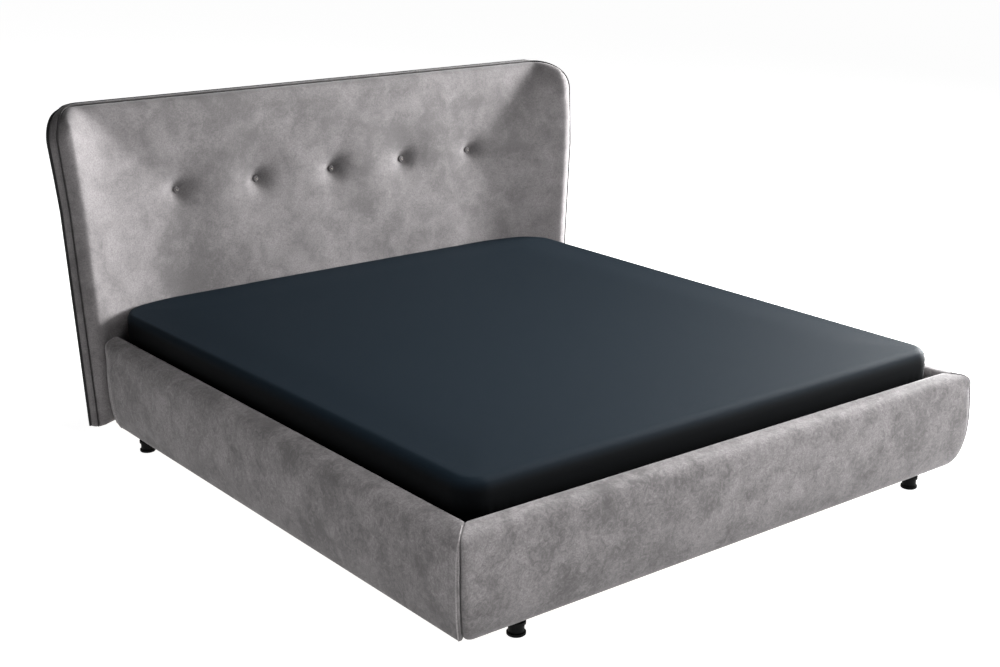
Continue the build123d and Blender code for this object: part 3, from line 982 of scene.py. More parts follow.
class Repeats:
    """Small pieces set along a line by a Geometry Nodes tree, such as stitches, staples and screws."""

    INPUTS = {
        "Piece": "NodeSocketObject",
        "Spacing": "NodeSocketFloat",
        "Turn": "NodeSocketFloat",
        "Unevenness": "NodeSocketFloat",
        "Seed": "NodeSocketInt",
        "Finish": "NodeSocketMaterial",
    }
    # The Random Value node's float sockets share their names with others.
    RANDOM_LOW, RANDOM_HIGH, RANDOM_NUMBER = 2, 3, 1

    def __init__(self) -> None:
        """Build the tree: resample the line, turn the pieces to it, scatter a little, realize them."""
        self.tree = bpy.data.node_groups.new("set_along_a_line", "GeometryNodeTree")
        face = self.tree.interface
        face.new_socket("Geometry", in_out="INPUT", socket_type="NodeSocketGeometry")
        self.inputs = {
            name: face.new_socket(name, in_out="INPUT", socket_type=kind).identifier
            for name, kind in self.INPUTS.items()
        }
        face.new_socket("Geometry", in_out="OUTPUT", socket_type="NodeSocketGeometry")
        given = self.tree.nodes.new("NodeGroupInput").outputs
        line = self.node("GeometryNodeMeshToCurve", {}, {"Mesh": given["Geometry"]})[0]
        spots = self.node(
            "GeometryNodeResampleCurve", {"mode": "LENGTH"}, {"Curve": line, "Length": given["Spacing"]}
        )[0]
        least = self.node("ShaderNodeMath", {"operation": "SUBTRACT"}, {0: 1.0, 1: given["Unevenness"]})[0]
        size = self.random(least, 1.0, given["Seed"])
        shape = self.node(
            "GeometryNodeObjectInfo", {"transform_space": "ORIGINAL"}, {"Object": given["Piece"]}
        )["Geometry"]
        set_out = {"Points": spots, "Instance": shape, "Rotation": self.turned(given), "Scale": size}
        pieces = self.node("GeometryNodeInstanceOnPoints", {}, set_out)[0]
        real = self.node("GeometryNodeRealizeInstances", {}, {"Geometry": pieces})[0]
        dressed = self.node("GeometryNodeSetMaterial", {}, {"Geometry": real, "Material": given["Finish"]})[0]
        self.tree.links.new(dressed, self.tree.nodes.new("NodeGroupOutput").inputs[0])

    def turned(self, given: Any) -> Any:
        """Lay each piece along the line with its top towards facing, swung aside a little.

        Args:
            given: The tree's inputs.

        Returns:
            The rotation's socket.
        """
        vector = {"data_type": "FLOAT_VECTOR"}
        facing = self.node("GeometryNodeInputNamedAttribute", vector, {"Name": "facing"})
        ways = {"Primary Axis": self.node("GeometryNodeInputTangent", {}, {})[0], "Secondary Axis": facing[0]}
        laid = self.node("FunctionNodeAxesToRotation", {"primary_axis": "X", "secondary_axis": "Z"}, ways)[0]
        least = self.node("ShaderNodeMath", {"operation": "MULTIPLY"}, {0: given["Turn"], 1: -1.0})[0]
        angle = self.random(least, given["Turn"], given["Seed"])
        swing = self.node("FunctionNodeAxisAngleToRotation", {}, {"Axis": (0, 0, 1), "Angle": angle})[0]
        turns = {"Rotation": laid, "Rotate By": swing}
        return self.node("FunctionNodeRotateRotation", {"rotation_space": "LOCAL"}, turns)[0]

    def random(self, low: Any, high: Any, seed: Any) -> Any:
        """Return a random number for each piece.

        Args:
            low: The least number or its socket.
            high: The greatest number or its socket.
            seed: The seed's socket.

        Returns:
            The number's socket.
        """
        inputs = {self.RANDOM_LOW: low, self.RANDOM_HIGH: high, "Seed": seed}
        return self.node("FunctionNodeRandomValue", {"data_type": "FLOAT"}, inputs)[self.RANDOM_NUMBER]

    def node(self, kind: str, settings: dict[str, Any], inputs: dict[Any, Any]) -> Any:
        """Add one node.

        Args:
            kind: The node's type.
            settings: Its settings.
            inputs: Values or output sockets for its inputs, by name or number.

        Returns:
            The node's outputs.
        """
        node = self.tree.nodes.new(kind)
        for key, value in settings.items():
            setattr(node, key, value)
        for key, value in inputs.items():
            if isinstance(value, bpy.types.NodeSocket):
                self.tree.links.new(value, node.inputs[key])
            else:
                node.inputs[key].default_value = value
        return node.outputs

    def along(
        self,
        name: str,
        lines: list[tuple[np.ndarray, np.ndarray]],
        piece: bpy.types.Mesh,
        spacing: float,
        finish: Finish,
        turn: float = 0.06,
        unevenness: float = 0.12,
    ) -> None:
        """Set copies of a small piece along lines on the frame.

        Args:
            name: The name of what they make.
            lines: Each line's points and the ways that the pieces face there.
            piece: The small piece, along X with its top towards Z.
            spacing: The distance between pieces, in metres.
            finish: Their finish.
            turn: The most that a piece is turned aside, in radians.
            unevenness: The most that a piece is smaller than its fellows.
        """
        points = np.concatenate([line for line, _ in lines])
        ways = np.concatenate([facing for _, facing in lines])
        edges: list[Face] = []
        start = 0
        for line, _ in lines:
            edges += [(start + index, start + index + 1) for index in range(len(line) - 1)]
            start += len(line)
        path = bpy.data.meshes.new(name)
        path.from_pydata(points.tolist(), edges, [])
        path.attributes.new("facing", "FLOAT_VECTOR", "POINT").data.foreach_set("vector", ways.ravel())
        template = bpy.data.objects.new("template", piece)
        holder = bpy.data.objects.new(name, path)
        for item in (template, holder):
            bpy.context.scene.collection.objects.link(item)
        modifier = holder.modifiers.new("repeats", "NODES")
        modifier.node_group = self.tree
        values = {
            "Piece": template,
            "Spacing": spacing,
            "Turn": turn,
            "Unevenness": unevenness,
            "Seed": len(name),
            "Finish": material_of(finish),
        }
        for key, value in values.items():
            modifier[self.inputs[key]] = value
        holder.update_tag()
        mesh = evaluated_mesh(holder)
        for item in (template, holder):
            bpy.data.objects.remove(item)
        mesh.name = name
        smooth(mesh)
        settle(mesh, Body.FRAME, finish)


def evaluated_mesh(item: bpy.types.Object) -> bpy.types.Mesh:
    """Return what an object's modifiers make of its mesh."""
    bpy.context.view_layer.update()
    return bpy.data.meshes.new_from_object(item.evaluated_get(bpy.context.evaluated_depsgraph_get()))


def stitch(length: float = 0.0042, radius: float = 0.00045) -> bpy.types.Mesh:
    """Make one stitch: a short thread that dips at both ends.

    Args:
        length: The stitch's length.
        radius: The thread's radius.

    Returns:
        The stitch.
    """
    taper_share, lift_share, dip_share = 0.75, 0.6, 2.2
    turns = np.linspace(0, math.tau, 6, endpoint=False)
    rings = []
    for place in np.linspace(-1, 1, 5):
        x = place * length / 2
        width = radius * math.sqrt(max(1.0 - place**2 * taper_share, 0.0))
        lift = radius * lift_share * (1 - dip_share * place**2)
        rings.append([(x, width * math.cos(turn), lift + width * math.sin(turn)) for turn in turns])
    return tube_mesh("stitch", np.array(rings))


def staple(width: float = 0.010, wire: float = 0.0006, leg: float = 0.0014) -> bpy.types.Mesh:
    """Make one staple's crown with its two bends.

    Args:
        width: The crown's width.
        wire: Half the wire's thickness.
        leg: How far the legs reach down.

    Returns:
        The staple.
    """
    half = width / 2
    crown = half * 0.9
    line = [(-half, -leg), (-half, 0.0), (-crown, wire), (crown, wire), (half, 0.0), (half, -leg)]
    square = ((-1, -1), (1, -1), (1, 1), (-1, 1))
    rings = [[(x, y * wire, z + w * wire * 0.5) for y, w in square] for x, z in line]
    return tube_mesh("staple", np.array(rings))


def screw(radius: float = 0.0042, count: int = 24) -> bpy.types.Mesh:
    """Make one countersunk screw head with a cross recess.

    Args:
        radius: The head's radius.
        count: How many sides its round has.

    Returns:
        The screw head.
    """
    turns = np.linspace(0, math.tau, count, endpoint=False)
    head = [(0.9, -0.0024), (1.0, -0.0002), (0.97, 0.0003), (0.62, 0.0005)]
    recess = [(1.0, 0.0004), (0.8, -0.0014)]
    cross_shares = [0.52 if index % 6 in (0, 1, 5) else 0.16 for index in range(count)]
    outlines = [([share] * count, z) for share, z in head]
    outlines += [([cross * share for cross in cross_shares], z) for share, z in recess]
    rings = [
        [(radius * share * math.cos(t), radius * share * math.sin(t), z) for share, t in zip(shares, turns)]
        for shares, z in outlines
    ]
    return tube_mesh("screw", np.array(rings))


@dataclass
class Headboard:
    """The headboard: front pad, edge band with its pipings, back lining and buttons."""

    low: float = 0.038
    top: float = 1.086
    flat_half: float = 1.040
    low_half: float = 1.004
    top_half: float = 1.062
    corner: float = 0.100
    thick: float = 0.042
    roll: float = 0.036
    soft_roll: float = 0.062
    side: float = 0.006
    depth: float = 0.078
    crown: float = 0.006
    crown_reach: float = 0.30
    lump_height: float = 0.0012
    small_lump_height: float = 0.00012
    lump_fade: float = 0.12

    bend_start: float = 0.600
    bend_start_top: float = 0.945
    bend_reach: float = 0.125
    bend_reach_top: float = 0.092
    soft_bend: float = 2.5
    sharp_bend: float = 0.20
    sharp_rise_share: float = 2.7
    left_softness: float = 7.0

    button_z: float = 0.774
    button_half: float = 1.045
    button_pitch: float = 0.309
    button_count: int = 5
    button_radius: float = 0.0115
    button_sides: int = 32
    hollow_floor_share: float = 0.85
    hollow_depth: float = 0.0205
    hollow_reach: float = 0.026
    hollow_power: float = 1.2
    hollow_tail: float = 0.0175
    tail_reach: float = 0.088
    tail_power: float = 1.3

    notch_half: float = 0.936
    notch_top: float = 0.187
    step: float = 0.011
    fine_step: float = 0.0055
    fine_rows: int = 12
    fine_columns: int = 11
    least_step: float = 0.0028

    side_points: int = 80
    corner_points: int = 25
    top_points: int = 150
    band_depth: float = 0.027
    band_rise: float = 0.0085
    band_power: float = 0.6
    band_sink: float = 0.0015
    band_root: float = 0.012
    wrap_rise: float = 0.0078
    wrap_gap: float = 0.0005
    wrap_round: float = 0.005
    wrap_root: float = 0.014
    piping_radius: float = 0.0022
    front_piping_lift: float = 0.0030
    front_piping_lead: float = 0.0015
    rear_piping_lift: float = 0.0040

    lining_thick: float = 0.0015
    lining_step: float = 0.018
    lining_sag: float = 0.0008
    lining_sag_reach: float = 0.25
    lining_lump: float = 0.0003
    lining_lump_reach: float = 0.1

    stitch_gap: float = 0.0055
    stitch_pitch: float = 0.0068
    stitch_turn_share: float = 0.27
    stitch_sink: float = 0.0012
    staple_inset: float = 0.016
    staple_pitch: float = 0.034
    staple_rise: float = 0.0004
    seam_ends: int = 4

    panel_thick: float = 0.012
    timber_thick: float = 0.0190
    timber_width: float = 0.060
    layer_inset: float = 0.004
    layer_gap: float = 0.0005
    layer_rise: float = 0.001

    def __post_init__(self) -> None:
        """Take the face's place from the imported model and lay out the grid."""
        self.face_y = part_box("headboard_back_cloth")[1].y - self.depth
        self.seam_y = self.face_y + self.thick
        self.plan = RoundedPlan(
            self.flat_half, self.low, self.top, 0, self.corner, self.step, self.roll
        )
        self.lumps = Waves(11, 0.16, 0.60)
        self.small_lumps = Waves(12, 0.05, 0.12)
        self.buttons = [
            (index - (self.button_count - 1) / 2) * self.button_pitch for index in range(self.button_count)
        ]

    def half_at(self, z: np.ndarray) -> np.ndarray:
        """Return the headboard's half width at a height."""
        return self.low_half + (self.top_half - self.low_half) * (z - self.low) / (self.top - self.low)

    def spread(self, c: np.ndarray, z: np.ndarray) -> np.ndarray:
        """Return how far across a point of the flat outline lies."""
        return c * self.half_at(z) / self.flat_half

    def sheet_y(self, x: np.ndarray, z: np.ndarray) -> np.ndarray:
        """Return how far back the bent panel's front lies.

        Args:
            x: The places across.
            z: The heights.

        Returns:
            The places along Y.
        """
        rise = np.clip((z - self.button_z) / (self.top - self.button_z), 0, 1)
        start = self.bend_start + (self.bend_start_top - self.bend_start) * rise
        share = np.maximum(np.abs(x) - start, 0) / (self.half_at(z) - start)
        sharp = self.sharp_bend * np.where(x < 0, self.left_softness, 1)
        soft = self.soft_bend * (sharp / self.soft_bend) ** smooth_step(rise * self.sharp_rise_share)
        bend = (np.sqrt(share**2 + soft**2) - soft) / (np.sqrt(1 + soft**2) - soft)
        reach = self.bend_reach + (self.bend_reach_top - self.bend_reach) * rise
        return self.seam_y - reach * bend

    def normal(self, x: np.ndarray, z: np.ndarray) -> np.ndarray:
        """Return the direction that the bent panel's front faces.

        Args:
            x: The places across.
            z: The heights.

        Returns:
            One direction for each point.
        """
        tiny = 0.002
        slope_x = (self.sheet_y(x + tiny, z) - self.sheet_y(x - tiny, z)) / (2 * tiny)
        slope_z = (self.sheet_y(x, z + tiny) - self.sheet_y(x, z - tiny)) / (2 * tiny)
        return unit(np.stack([slope_x, -np.ones_like(slope_x), slope_z], axis=-1))

    def bent(self, c: np.ndarray, z: np.ndarray) -> tuple[np.ndarray, np.ndarray, np.ndarray]:
        """Bend points of the flat outline onto the panel.

        Args:
            c: Their places across the flat outline.
            z: Their heights.

        Returns:
            How far across they lie, the bent points, and the ways that the panel faces there.
        """
        x = self.spread(c, z)
        return x, np.stack([x, self.sheet_y(x, z), z], axis=-1), self.normal(x, z)

    def front_y(self, x: float, z: float) -> float:
        """Return how far back the padded front lies, away from its edges.

        Args:
            x: The place across.
            z: The height.

        Returns:
            The place along Y.
        """
        point = (np.array([x]), np.array([z]))
        facing = self.normal(*point)[0]
        return float(self.sheet_y(*point)[0] - self.thick / -facing[1])

    def height(self, c: np.ndarray, z: np.ndarray, x: np.ndarray) -> np.ndarray:
        """Return how thick the padding stands on the panel.

        Args:
            c: The places across the flat outline.
            z: The heights.
            x: The places across the bed.

        Returns:
            The thicknesses.
        """
        inset = self.plan.inset(c, z)
        over = 1 - np.clip(inset / self.soft_roll, 0, 1)
        height = self.side + (self.thick - self.side) * np.sqrt(1 - over**3)
        height += self.crown * smooth_step(inset / self.crown_reach)
        lumps = self.lump_height * self.lumps(x, z) + self.small_lump_height * self.small_lumps(x, z)
        height += smooth_step(inset / self.lump_fade) * lumps
        for place in self.buttons:
            away = np.hypot(x - place, z - self.button_z)
            far = np.maximum(away - self.button_radius * self.hollow_floor_share, 0)
            height -= self.hollow_depth * np.exp(-((far / self.hollow_reach) ** self.hollow_power))
            height -= self.hollow_tail * np.exp(-((far / self.tail_reach) ** self.tail_power))
        return height

    def padded_y(self, x: float, z: float) -> float:
        """Return how far back the padding's surface lies, hollows and all.

        Args:
            x: The place across.
            z: The height.

        Returns:
            The place along Y.
        """
        across, up = np.array([x]), np.array([z])
        flat = across / self.spread(np.ones(1), up)
        facing = self.normal(across, up)[0]
        return float(self.sheet_y(across, up)[0] + self.height(flat, up, across)[0] / facing[1])

    def pad(self) -> None:
        """Make the front pad: rolled edges, button hollows and the frame's notch."""
        rows = range(-self.fine_rows, self.fine_rows + 1)
        columns = range(-self.fine_columns, self.fine_columns + 1)
        fine_z = tuple(self.button_z + self.fine_step * index for index in rows)
        across, along = self.plan.lines(fine_z + (self.notch_top,))
        flat_share = self.flat_half / self.button_half
        fine_c = [place * flat_share + self.fine_step * index for place in self.buttons for index in columns]
        across = thinned(ordered(across, fine_c, [-self.notch_half, self.notch_half]), self.least_step)
        c, z = self.plan.grid(across, thinned(along, self.least_step))
        x, base, facing = self.bent(c, z)
        level = smooth_step((self.flat_half - np.abs(c)) / self.soft_roll)[..., None]
        straight = np.stack([np.zeros_like(x), 1 / facing[..., 1], np.zeros_like(x)], axis=-1)
        ways = facing * (1 - level) + straight * level
        front = base + ways * self.height(c, z, x)[..., None]
        kept = ~((np.abs(middles(c)) < self.notch_half) & (middles(z) < self.notch_top))
        mesh = mesh_of("headboard_pad", *closed_slab(front, base, kept))
        piece = settle(mesh, Body.FRAME, VELOUR, ("headboard_cushion",))

    def outline(self) -> tuple[np.ndarray, np.ndarray, np.ndarray]:
        """Return the seam line's points, and the ways out of it and in front of it.

        Returns:
            The points, the ways out and the ways in front, from the right foot over the top.
        """
        side = self.top - self.corner
        reach = self.flat_half - self.corner
        turns = np.linspace(0, math.pi / 2, self.corner_points)
        rise = np.linspace(self.low, side, self.side_points, endpoint=False)
        straight_c = np.full(self.side_points, self.flat_half)
        right_c = np.concatenate([straight_c, reach + self.corner * np.cos(turns)])
        right_z = np.concatenate([rise, side + self.corner * np.sin(turns)])
        top_c = np.linspace(reach, -reach, self.top_points)[1:-1]
        c = np.concatenate([right_c, top_c, -np.flip(right_c)])
        z = np.concatenate([right_z, np.full(len(top_c), self.top), np.flip(right_z)])
        _, points, facing = self.bent(c, z)
        out = unit(np.cross(facing, np.gradient(points, axis=0)))
        return points, out * np.sign(out[0, 0]), facing

    def edge(self) -> None:
        """Make the band between the front and back seams, and the lining's turned edge."""
        points, out, facing = self.outline()
        turns = np.linspace(0, math.pi, 13)
        band_back = (1 - np.cos(turns)) / 2 * self.band_depth
        band_out = self.band_rise * np.sin(turns) ** self.band_power - self.band_sink
        section = [*zip(band_out, band_back), (-self.band_root, self.band_depth), (-self.band_root, 0.0)]
        self.swept("headboard_edge_band", section, VELOUR_BAND, ("headboard_band",))
        rear = self.depth - self.thick
        start = self.band_depth + self.wrap_gap
        wrap = [(0.0, self.band_depth), (self.wrap_rise, start)]
        for turn in np.linspace(0, math.pi / 2, 7):
            lift = self.wrap_rise - self.wrap_round * (1 - math.cos(turn))
            wrap.append((lift, rear - self.wrap_round + self.wrap_round * math.sin(turn)))
        wrap += [(-self.wrap_root, rear), (-self.wrap_root, start)]
        self.swept("headboard_lining_edge", wrap, BACK_CLOTH)
        front = ("front", -self.front_piping_lead, self.front_piping_lift)
        for name, back, lift in (front, ("rear", self.band_depth, self.rear_piping_lift)):
            line = points + out * lift - facing * back
            # Each piping wears the painted seam shade.
            pipe(f"headboard_{name}_piping", line, self.piping_radius, SEAM_SHADE_VELOUR)

    def swept(self, name: str, section: list[Span], finish: Finish, replaced: tuple[str, ...] = ()) -> None:
        """Sweep a closed section of (out, back) places along the seam line.

        Args:
            name: The piece's name.
            section: The section's corners.
            finish: The piece's finish.
            replaced: The nodes that it stands for.
        """
        points, out, facing = self.outline()
        rings = np.stack([points + out * a - facing * b for a, b in section], axis=1)
        settle(tube_mesh(name, rings), Body.FRAME, finish, replaced)

    def fasteners(self, repeats: Repeats) -> None:
        """Set the stitches beside the two seams and the staples round the back.

        Args:
            repeats: The maker of repeated pieces.
        """
        points, out, facing = self.outline()
        run = slice(self.seam_ends, -self.seam_ends)
        bulge = math.sin(math.pi * self.stitch_turn_share) ** self.band_power
        lift = self.band_rise * bulge - self.stitch_sink
        for name, back in (("front", self.stitch_gap), ("rear", self.band_depth - self.stitch_gap)):
            lines = [((points + out * lift - facing * back)[run], out[run])]
            repeats.along(f"headboard_{name}_stitches", lines, stitch(), self.stitch_pitch, SEAM_THREAD)
        line = points - out * self.staple_inset - facing * (self.depth - self.thick + self.staple_rise)
        lines = [(line[run], -facing[run])]
        repeats.along("headboard_staples", lines, staple(), self.staple_pitch, ZINC_STEEL)

    def lining(self) -> None:
        """Make the lining cloth stretched over the back."""
        c, z = self.plan.grid(*(thinned(places, self.lining_step) for places in self.plan.lines()))
        x, base, facing = self.bent(c, z)
        inset = self.plan.inset(c, z)
        sag = self.lining_sag * smooth_step(inset / self.lining_sag_reach)
        sag += self.lining_lump * self.small_lumps(x, z) * smooth_step(inset / self.lining_lump_reach)
        back = base - facing * (self.depth - self.thick - sag)[..., None]
        inner = back + facing * self.lining_thick
        kept = np.ones(middles(c).shape, bool)
        mesh = mesh_of("headboard_back_lining", *closed_slab(inner, back, kept))
        piece = settle(mesh, Body.FRAME, BACK_CLOTH, ("headboard_back_cloth",))

    def layer(self, name: str, across: np.ndarray, along: np.ndarray, depths: Span) -> bpy.types.Mesh:
        """Make one bent layer behind the padding.

        Args:
            name: The mesh's name.
            across: The layer's lines across the flat outline.
            along: Its lines up the flat outline.
            depths: How far its front and back lie behind the seam.

        Returns:
            The mesh.
        """
        c, z = self.plan.grid(across, along)
        _, base, facing = self.bent(c, z)
        base[..., 0] *= 1 - self.layer_inset / self.flat_half
        front, back = (base - facing * depth for depth in depths)
        return mesh_of(name, *closed_slab(front, back, np.ones(middles(c).shape, bool)))

    def inner_frame(self) -> None:
        """Make the bent panel and the timber frame, which follow the same bend."""
        across, along = self.plan.lines()
        across, along = thinned(across, self.step), thinned(along, self.step * 2)
        low = self.low + self.layer_rise
        full = np.unique(np.clip(along, low, self.top - self.layer_inset))
        front = self.panel_thick + self.layer_gap
        timber = (front, front + self.timber_thick)
        low_edge = self.low + self.timber_width
        high_edge = self.top - self.timber_width
        high_lines = np.concatenate([[high_edge], full[full > high_edge]])
        panel = self.layer("headboard_bent_panel", across, full, (self.layer_gap, self.panel_thick))
        settle(panel, Body.FRAME, PLYWOOD, ("headboard_panel",))
        low_rail = self.layer("headboard_low_timber", across, np.array([low, low_edge]), timber)
        settle(low_rail, Body.FRAME, SPRUCE, ("headboard_bottom_rail",))
        high_rail = self.layer("headboard_high_timber", across, high_lines, timber)
        settle(high_rail, Body.FRAME, SPRUCE, ("headboard_top_rail",))
        posts = []
        for index in range(self.button_count + 1):
            middle = (index - self.button_count / 2) * self.button_pitch
            lines = np.linspace(middle - self.timber_width / 2, middle + self.timber_width / 2, 5)
            heights = np.linspace(low_edge, high_edge, 24)
            posts.append(self.layer(f"headboard_post_{index}", lines, heights, timber))
        settle(joined("headboard_upright_timbers", posts), Body.FRAME, SPRUCE, ("headboard_posts",))

    def covered_buttons(self) -> None:
        """Make the covered buttons at the bottoms of their hollows."""
        rim = self.button_radius
        profile = [
            (0.0, 0.0072), (0.0016, 0.0070), (0.0024, 0.0060), (0.0040, 0.0058), (0.0062, 0.0068),
            (0.0078, 0.0066), (0.0093, 0.0050), (rim, 0.0028), (rim * 0.96, 0.0004), (rim * 0.8, -0.002),
            (0.0, -0.002),
        ]
        turns = np.linspace(0, math.tau, self.button_sides, endpoint=False)
        points: list[Triple] = []
        faces: list[Face] = []
        for place in self.buttons:
            floor = self.padded_y(place, self.button_z)
            faces += ring_faces(len(profile), self.button_sides, len(points))
            points += [
                (place + radius * math.cos(turn), floor - lift, self.button_z + radius * math.sin(turn))
                for radius, lift in profile
                for turn in turns
            ]
        mesh = mesh_of("headboard_covered_buttons", np.array(points), faces)
        merge(mesh)
        settle(mesh, Body.FRAME, VELOUR, ("headboard_buttons",))

    def build(self, repeats: Repeats) -> None:
        """Make every piece of the headboard.

        Args:
            repeats: The maker of repeated pieces.
        """
        self.pad()
        self.inner_frame()
        self.edge()
        self.lining()
        self.covered_buttons()
        self.fasteners(repeats)


@dataclass
class Rails:
    """The padded rails: their covers, mitred at the foot and rounded at the headboard."""

    headboard: Headboard
    crest: float = 0.337
    low: float = 0.038
    bulge: float = 0.084
    bulge_z: float = 0.197
    low_depth: float = 0.054
    shoulder: float = 0.076
    crest_drop: float = 0.005
    crest_rise: float = 0.002
    inner_round: float = 0.024
    shoulder_round: float = 0.030
    shoulder_fall_share: float = 1.15
    side_share: float = 0.45
    side_pull: float = 0.045
    low_pull_z: float = 0.115
    low_round: float = 0.018
    low_rise_share: float = 1.2
    low_side_depth: float = 0.010

    end_round: float = 0.026
    side_mitre_round: float = 0.009
    foot_mitre_round: float = 0.017
    mitre_stretch: float = 2.0
    mitre_gap: float = 0.0008
    head_gap: float = 0.0015
    face_low_z: float = 0.05
    crest_share: float = 0.75
    crest_fade: float = 0.060
    floor_share: float = 0.10
    floor_fade: float = 0.045
    side_length: float = 2.0
    foot_length: float = 1.9
    step: float = 0.012
    lump_height: float = 0.0011
    small_lump_height: float = 0.0001
    lump_fade_rings: float = 10.0
    # Where the unevenness starts and over how far it grows, outwards and upwards.
    lump_depths: Span = (0.02, 0.03)
    lump_heights: Span = (0.07, 0.06)
    # Where each rail lies in the pattern of lumps.
    side_lump_shift: float = 3.0
    foot_lump_shift: float = 9.0

    piping_radius: float = 0.0019
    stitch_pitch: float = 0.0068
    stitch_rise: float = 0.0001
    # The section's outer points, which the end seams follow.
    outer_points: tuple[int, int] = (27, 66)
    # Each end seam: its name, and the rings that its piping and its stitches lie on.
    end_seams: tuple[tuple[str, int, int], ...] = (("corner", 5, 9), ("end", -8, -10))
    staple_inset: float = 0.012
    staple_pitch: float = 0.045
    staple_drop: float = 0.0003
    staple_end_gap: float = 0.05
    staple_run: float = 1.95
    screw_pitch: float = 0.19
    screw_end_gap: float = 0.06
    line_points: int = 40
    strip_cut: float = 0.05
    strip_bevel: float = 0.0015

    def __post_init__(self) -> None:
        """Take the well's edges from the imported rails."""
        self.half_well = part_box("right_rail_cover")[0].x
        self.foot_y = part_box("foot_rail_cover")[1].y
        self.profile, self.facing = self.section()
        self.lumps = Waves(21, 0.10, 0.45)
        self.small_lumps = Waves(22, 0.03, 0.09)

    def section(self) -> tuple[np.ndarray, np.ndarray]:
        """Return the section's points, out and up from its inner face, and the ways out of it.

        Returns:
            The points and the ways, each one row a point.
        """
        top = self.crest - self.crest_drop
        side_z = top - self.shoulder_round * self.shoulder_fall_share
        side = self.shoulder + (self.bulge - self.shoulder) * self.side_share
        low_side = (self.low_depth + self.low_side_depth, self.low + self.low_round * self.low_rise_share)
        start = (0.0, self.low)
        # Each stretch has its number of points, and its pulls and end after the last one's end.
        stretches = (
            (18, [(0.0, self.crest - self.inner_round)]),
            (8, [(0.0, self.crest), (self.inner_round, self.crest)]),
            (3, [(self.shoulder - self.shoulder_round, top + self.crest_rise)]),
            (9, [(self.shoulder, top), (side, side_z)]),
            (10, [(self.bulge, side_z - self.side_pull), (self.bulge, self.bulge_z)]),
            (14, [(self.bulge, self.low_pull_z), low_side]),
            (7, [(self.low_depth, self.low), (self.low_depth - self.low_round, self.low)]),
            (4, [start]),
        )
        parts = []
        for count, ahead in stretches:
            parts.append(curve([start, *ahead], count))
            start = ahead[-1]
        points = np.concatenate(parts)
        along = unit(np.roll(points, -1, axis=0) - np.roll(points, 1, axis=0))
        return points, np.stack([-along[:, 1], along[:, 0]], axis=1)

    def ring(self, inset: float, shift: float, share: float, start: End, end: End) -> np.ndarray:
        """Return one ring of (depth, along, up) places between two slanted ends.

        Args:
            inset: How far the ring is drawn in.
            shift: How far it is moved along from its share of the length.
            share: Where it lies, from 0 at the start to 1 at the end.
            start: Gives the start's place along for (depth, up).
            end: Gives the end's place along for (depth, up).

        Returns:
            The ring's points.
        """
        near_crest = smooth_step((self.profile[:, 1] - (self.crest - self.crest_fade)) / self.crest_fade)
        near_floor = smooth_step((self.low + self.floor_fade - self.profile[:, 1]) / self.floor_fade)
        ease = 1 - self.crest_share * near_crest + self.floor_share * near_floor
        section = self.profile - self.facing * (inset * ease)[:, None]
        depth, up = section[:, 0], section[:, 1]
        first, last = start(depth, up), end(depth, up)
        return np.stack([depth, first + (last - first) * share + shift * ease, up], axis=1)

    def rolled(self, rounds: Span, start: End, end: End, length: float) -> np.ndarray:
        """Return the rings of a rail whose two ends are rolled.

        Args:
            rounds: The rolls' radii at the start and the end.
            start: The start's place along for (depth, up).
            end: The end's place along for (depth, up).
            length: About how long the rail is.

        Returns:
            The rings.
        """
        turns = np.linspace(0, math.pi / 2, 8)
        first, last = (radius * self.mitre_stretch / length for radius in rounds)
        shares = np.linspace(first, 1 - last, max(3, round(length / self.step)))[1:-1]

        def roll(radius: float, turn: float, share: int) -> np.ndarray:
            """Return one ring of an end's roll."""
            shift = radius * (1 - math.cos(turn)) * (1 - 2 * share)
            return self.ring(radius * (1 - math.sin(turn)), shift * self.mitre_stretch, share, start, end)

        rings = [roll(rounds[0], turn, 0) for turn in turns]
        rings += [self.ring(0, 0, float(share), start, end) for share in shares]
        rings += [roll(rounds[1], turn, 1) for turn in np.flip(turns)]
        return np.array(rings)

    def lumpy(self, rings: np.ndarray, seed_shift: float) -> np.ndarray:
        """Return the rings with the padding's slight unevenness on their outer side.

        Args:
            rings: The rail's rings.
            seed_shift: Where the rail lies in the pattern of lumps.

        Returns:
            The uneven rings.
        """
        rings = rings.copy()
        girth = np.cumsum(np.linalg.norm(np.diff(rings[rings.shape[0] // 2], axis=0, prepend=0), axis=1))
        number = np.arange(len(rings))
        fade = smooth_step(np.minimum(number, number[::-1]) / self.lump_fade_rings)[:, None]
        (near, wide), (low, tall) = self.lump_depths, self.lump_heights
        outer = smooth_step((rings[:, :, 0] - near) / wide) * smooth_step((rings[:, :, 2] - low) / tall)
        along = rings[:, :, 1] + seed_shift
        lift = self.lump_height * self.lumps(along, girth[None, :])
        lift += self.small_lump_height * self.small_lumps(along, girth[None, :])
        rings[:, :, 0] += fade * outer * lift * self.facing[None, :, 0]
        rings[:, :, 2] += fade * outer * lift * self.facing[None, :, 1]
        return rings

    def side_rings(self, sign: int) -> np.ndarray:
        """Return one side rail's rings in place.

        Args:
            sign: 1 on the right, -1 on the left.

        Returns:
            The rings.
        """

        def mitre(depth: np.ndarray, up: np.ndarray) -> np.ndarray:
            """Give where the mitre lies along the rail."""
            return self.foot_y - depth + self.mitre_gap

        def head(depth: np.ndarray, up: np.ndarray) -> np.ndarray:
            """Give where the headboard's face lies along the rail.

            Args:
                depth: How far out the points lie.
                up: How high they lie.

            Returns:
                The places along the rail.
            """
            heights = np.maximum(up, self.face_low_z)
            reach = [self.headboard.front_y(self.half_well + d, z) for d, z in zip(depth, heights)]
            return np.array(reach) - self.head_gap

        rings = self.rolled((self.side_mitre_round, self.end_round), mitre, head, self.side_length)
        depth, along, up = np.moveaxis(self.lumpy(rings, self.side_lump_shift * sign), -1, 0)
        return np.stack([sign * (self.half_well + depth), along, up], axis=-1)

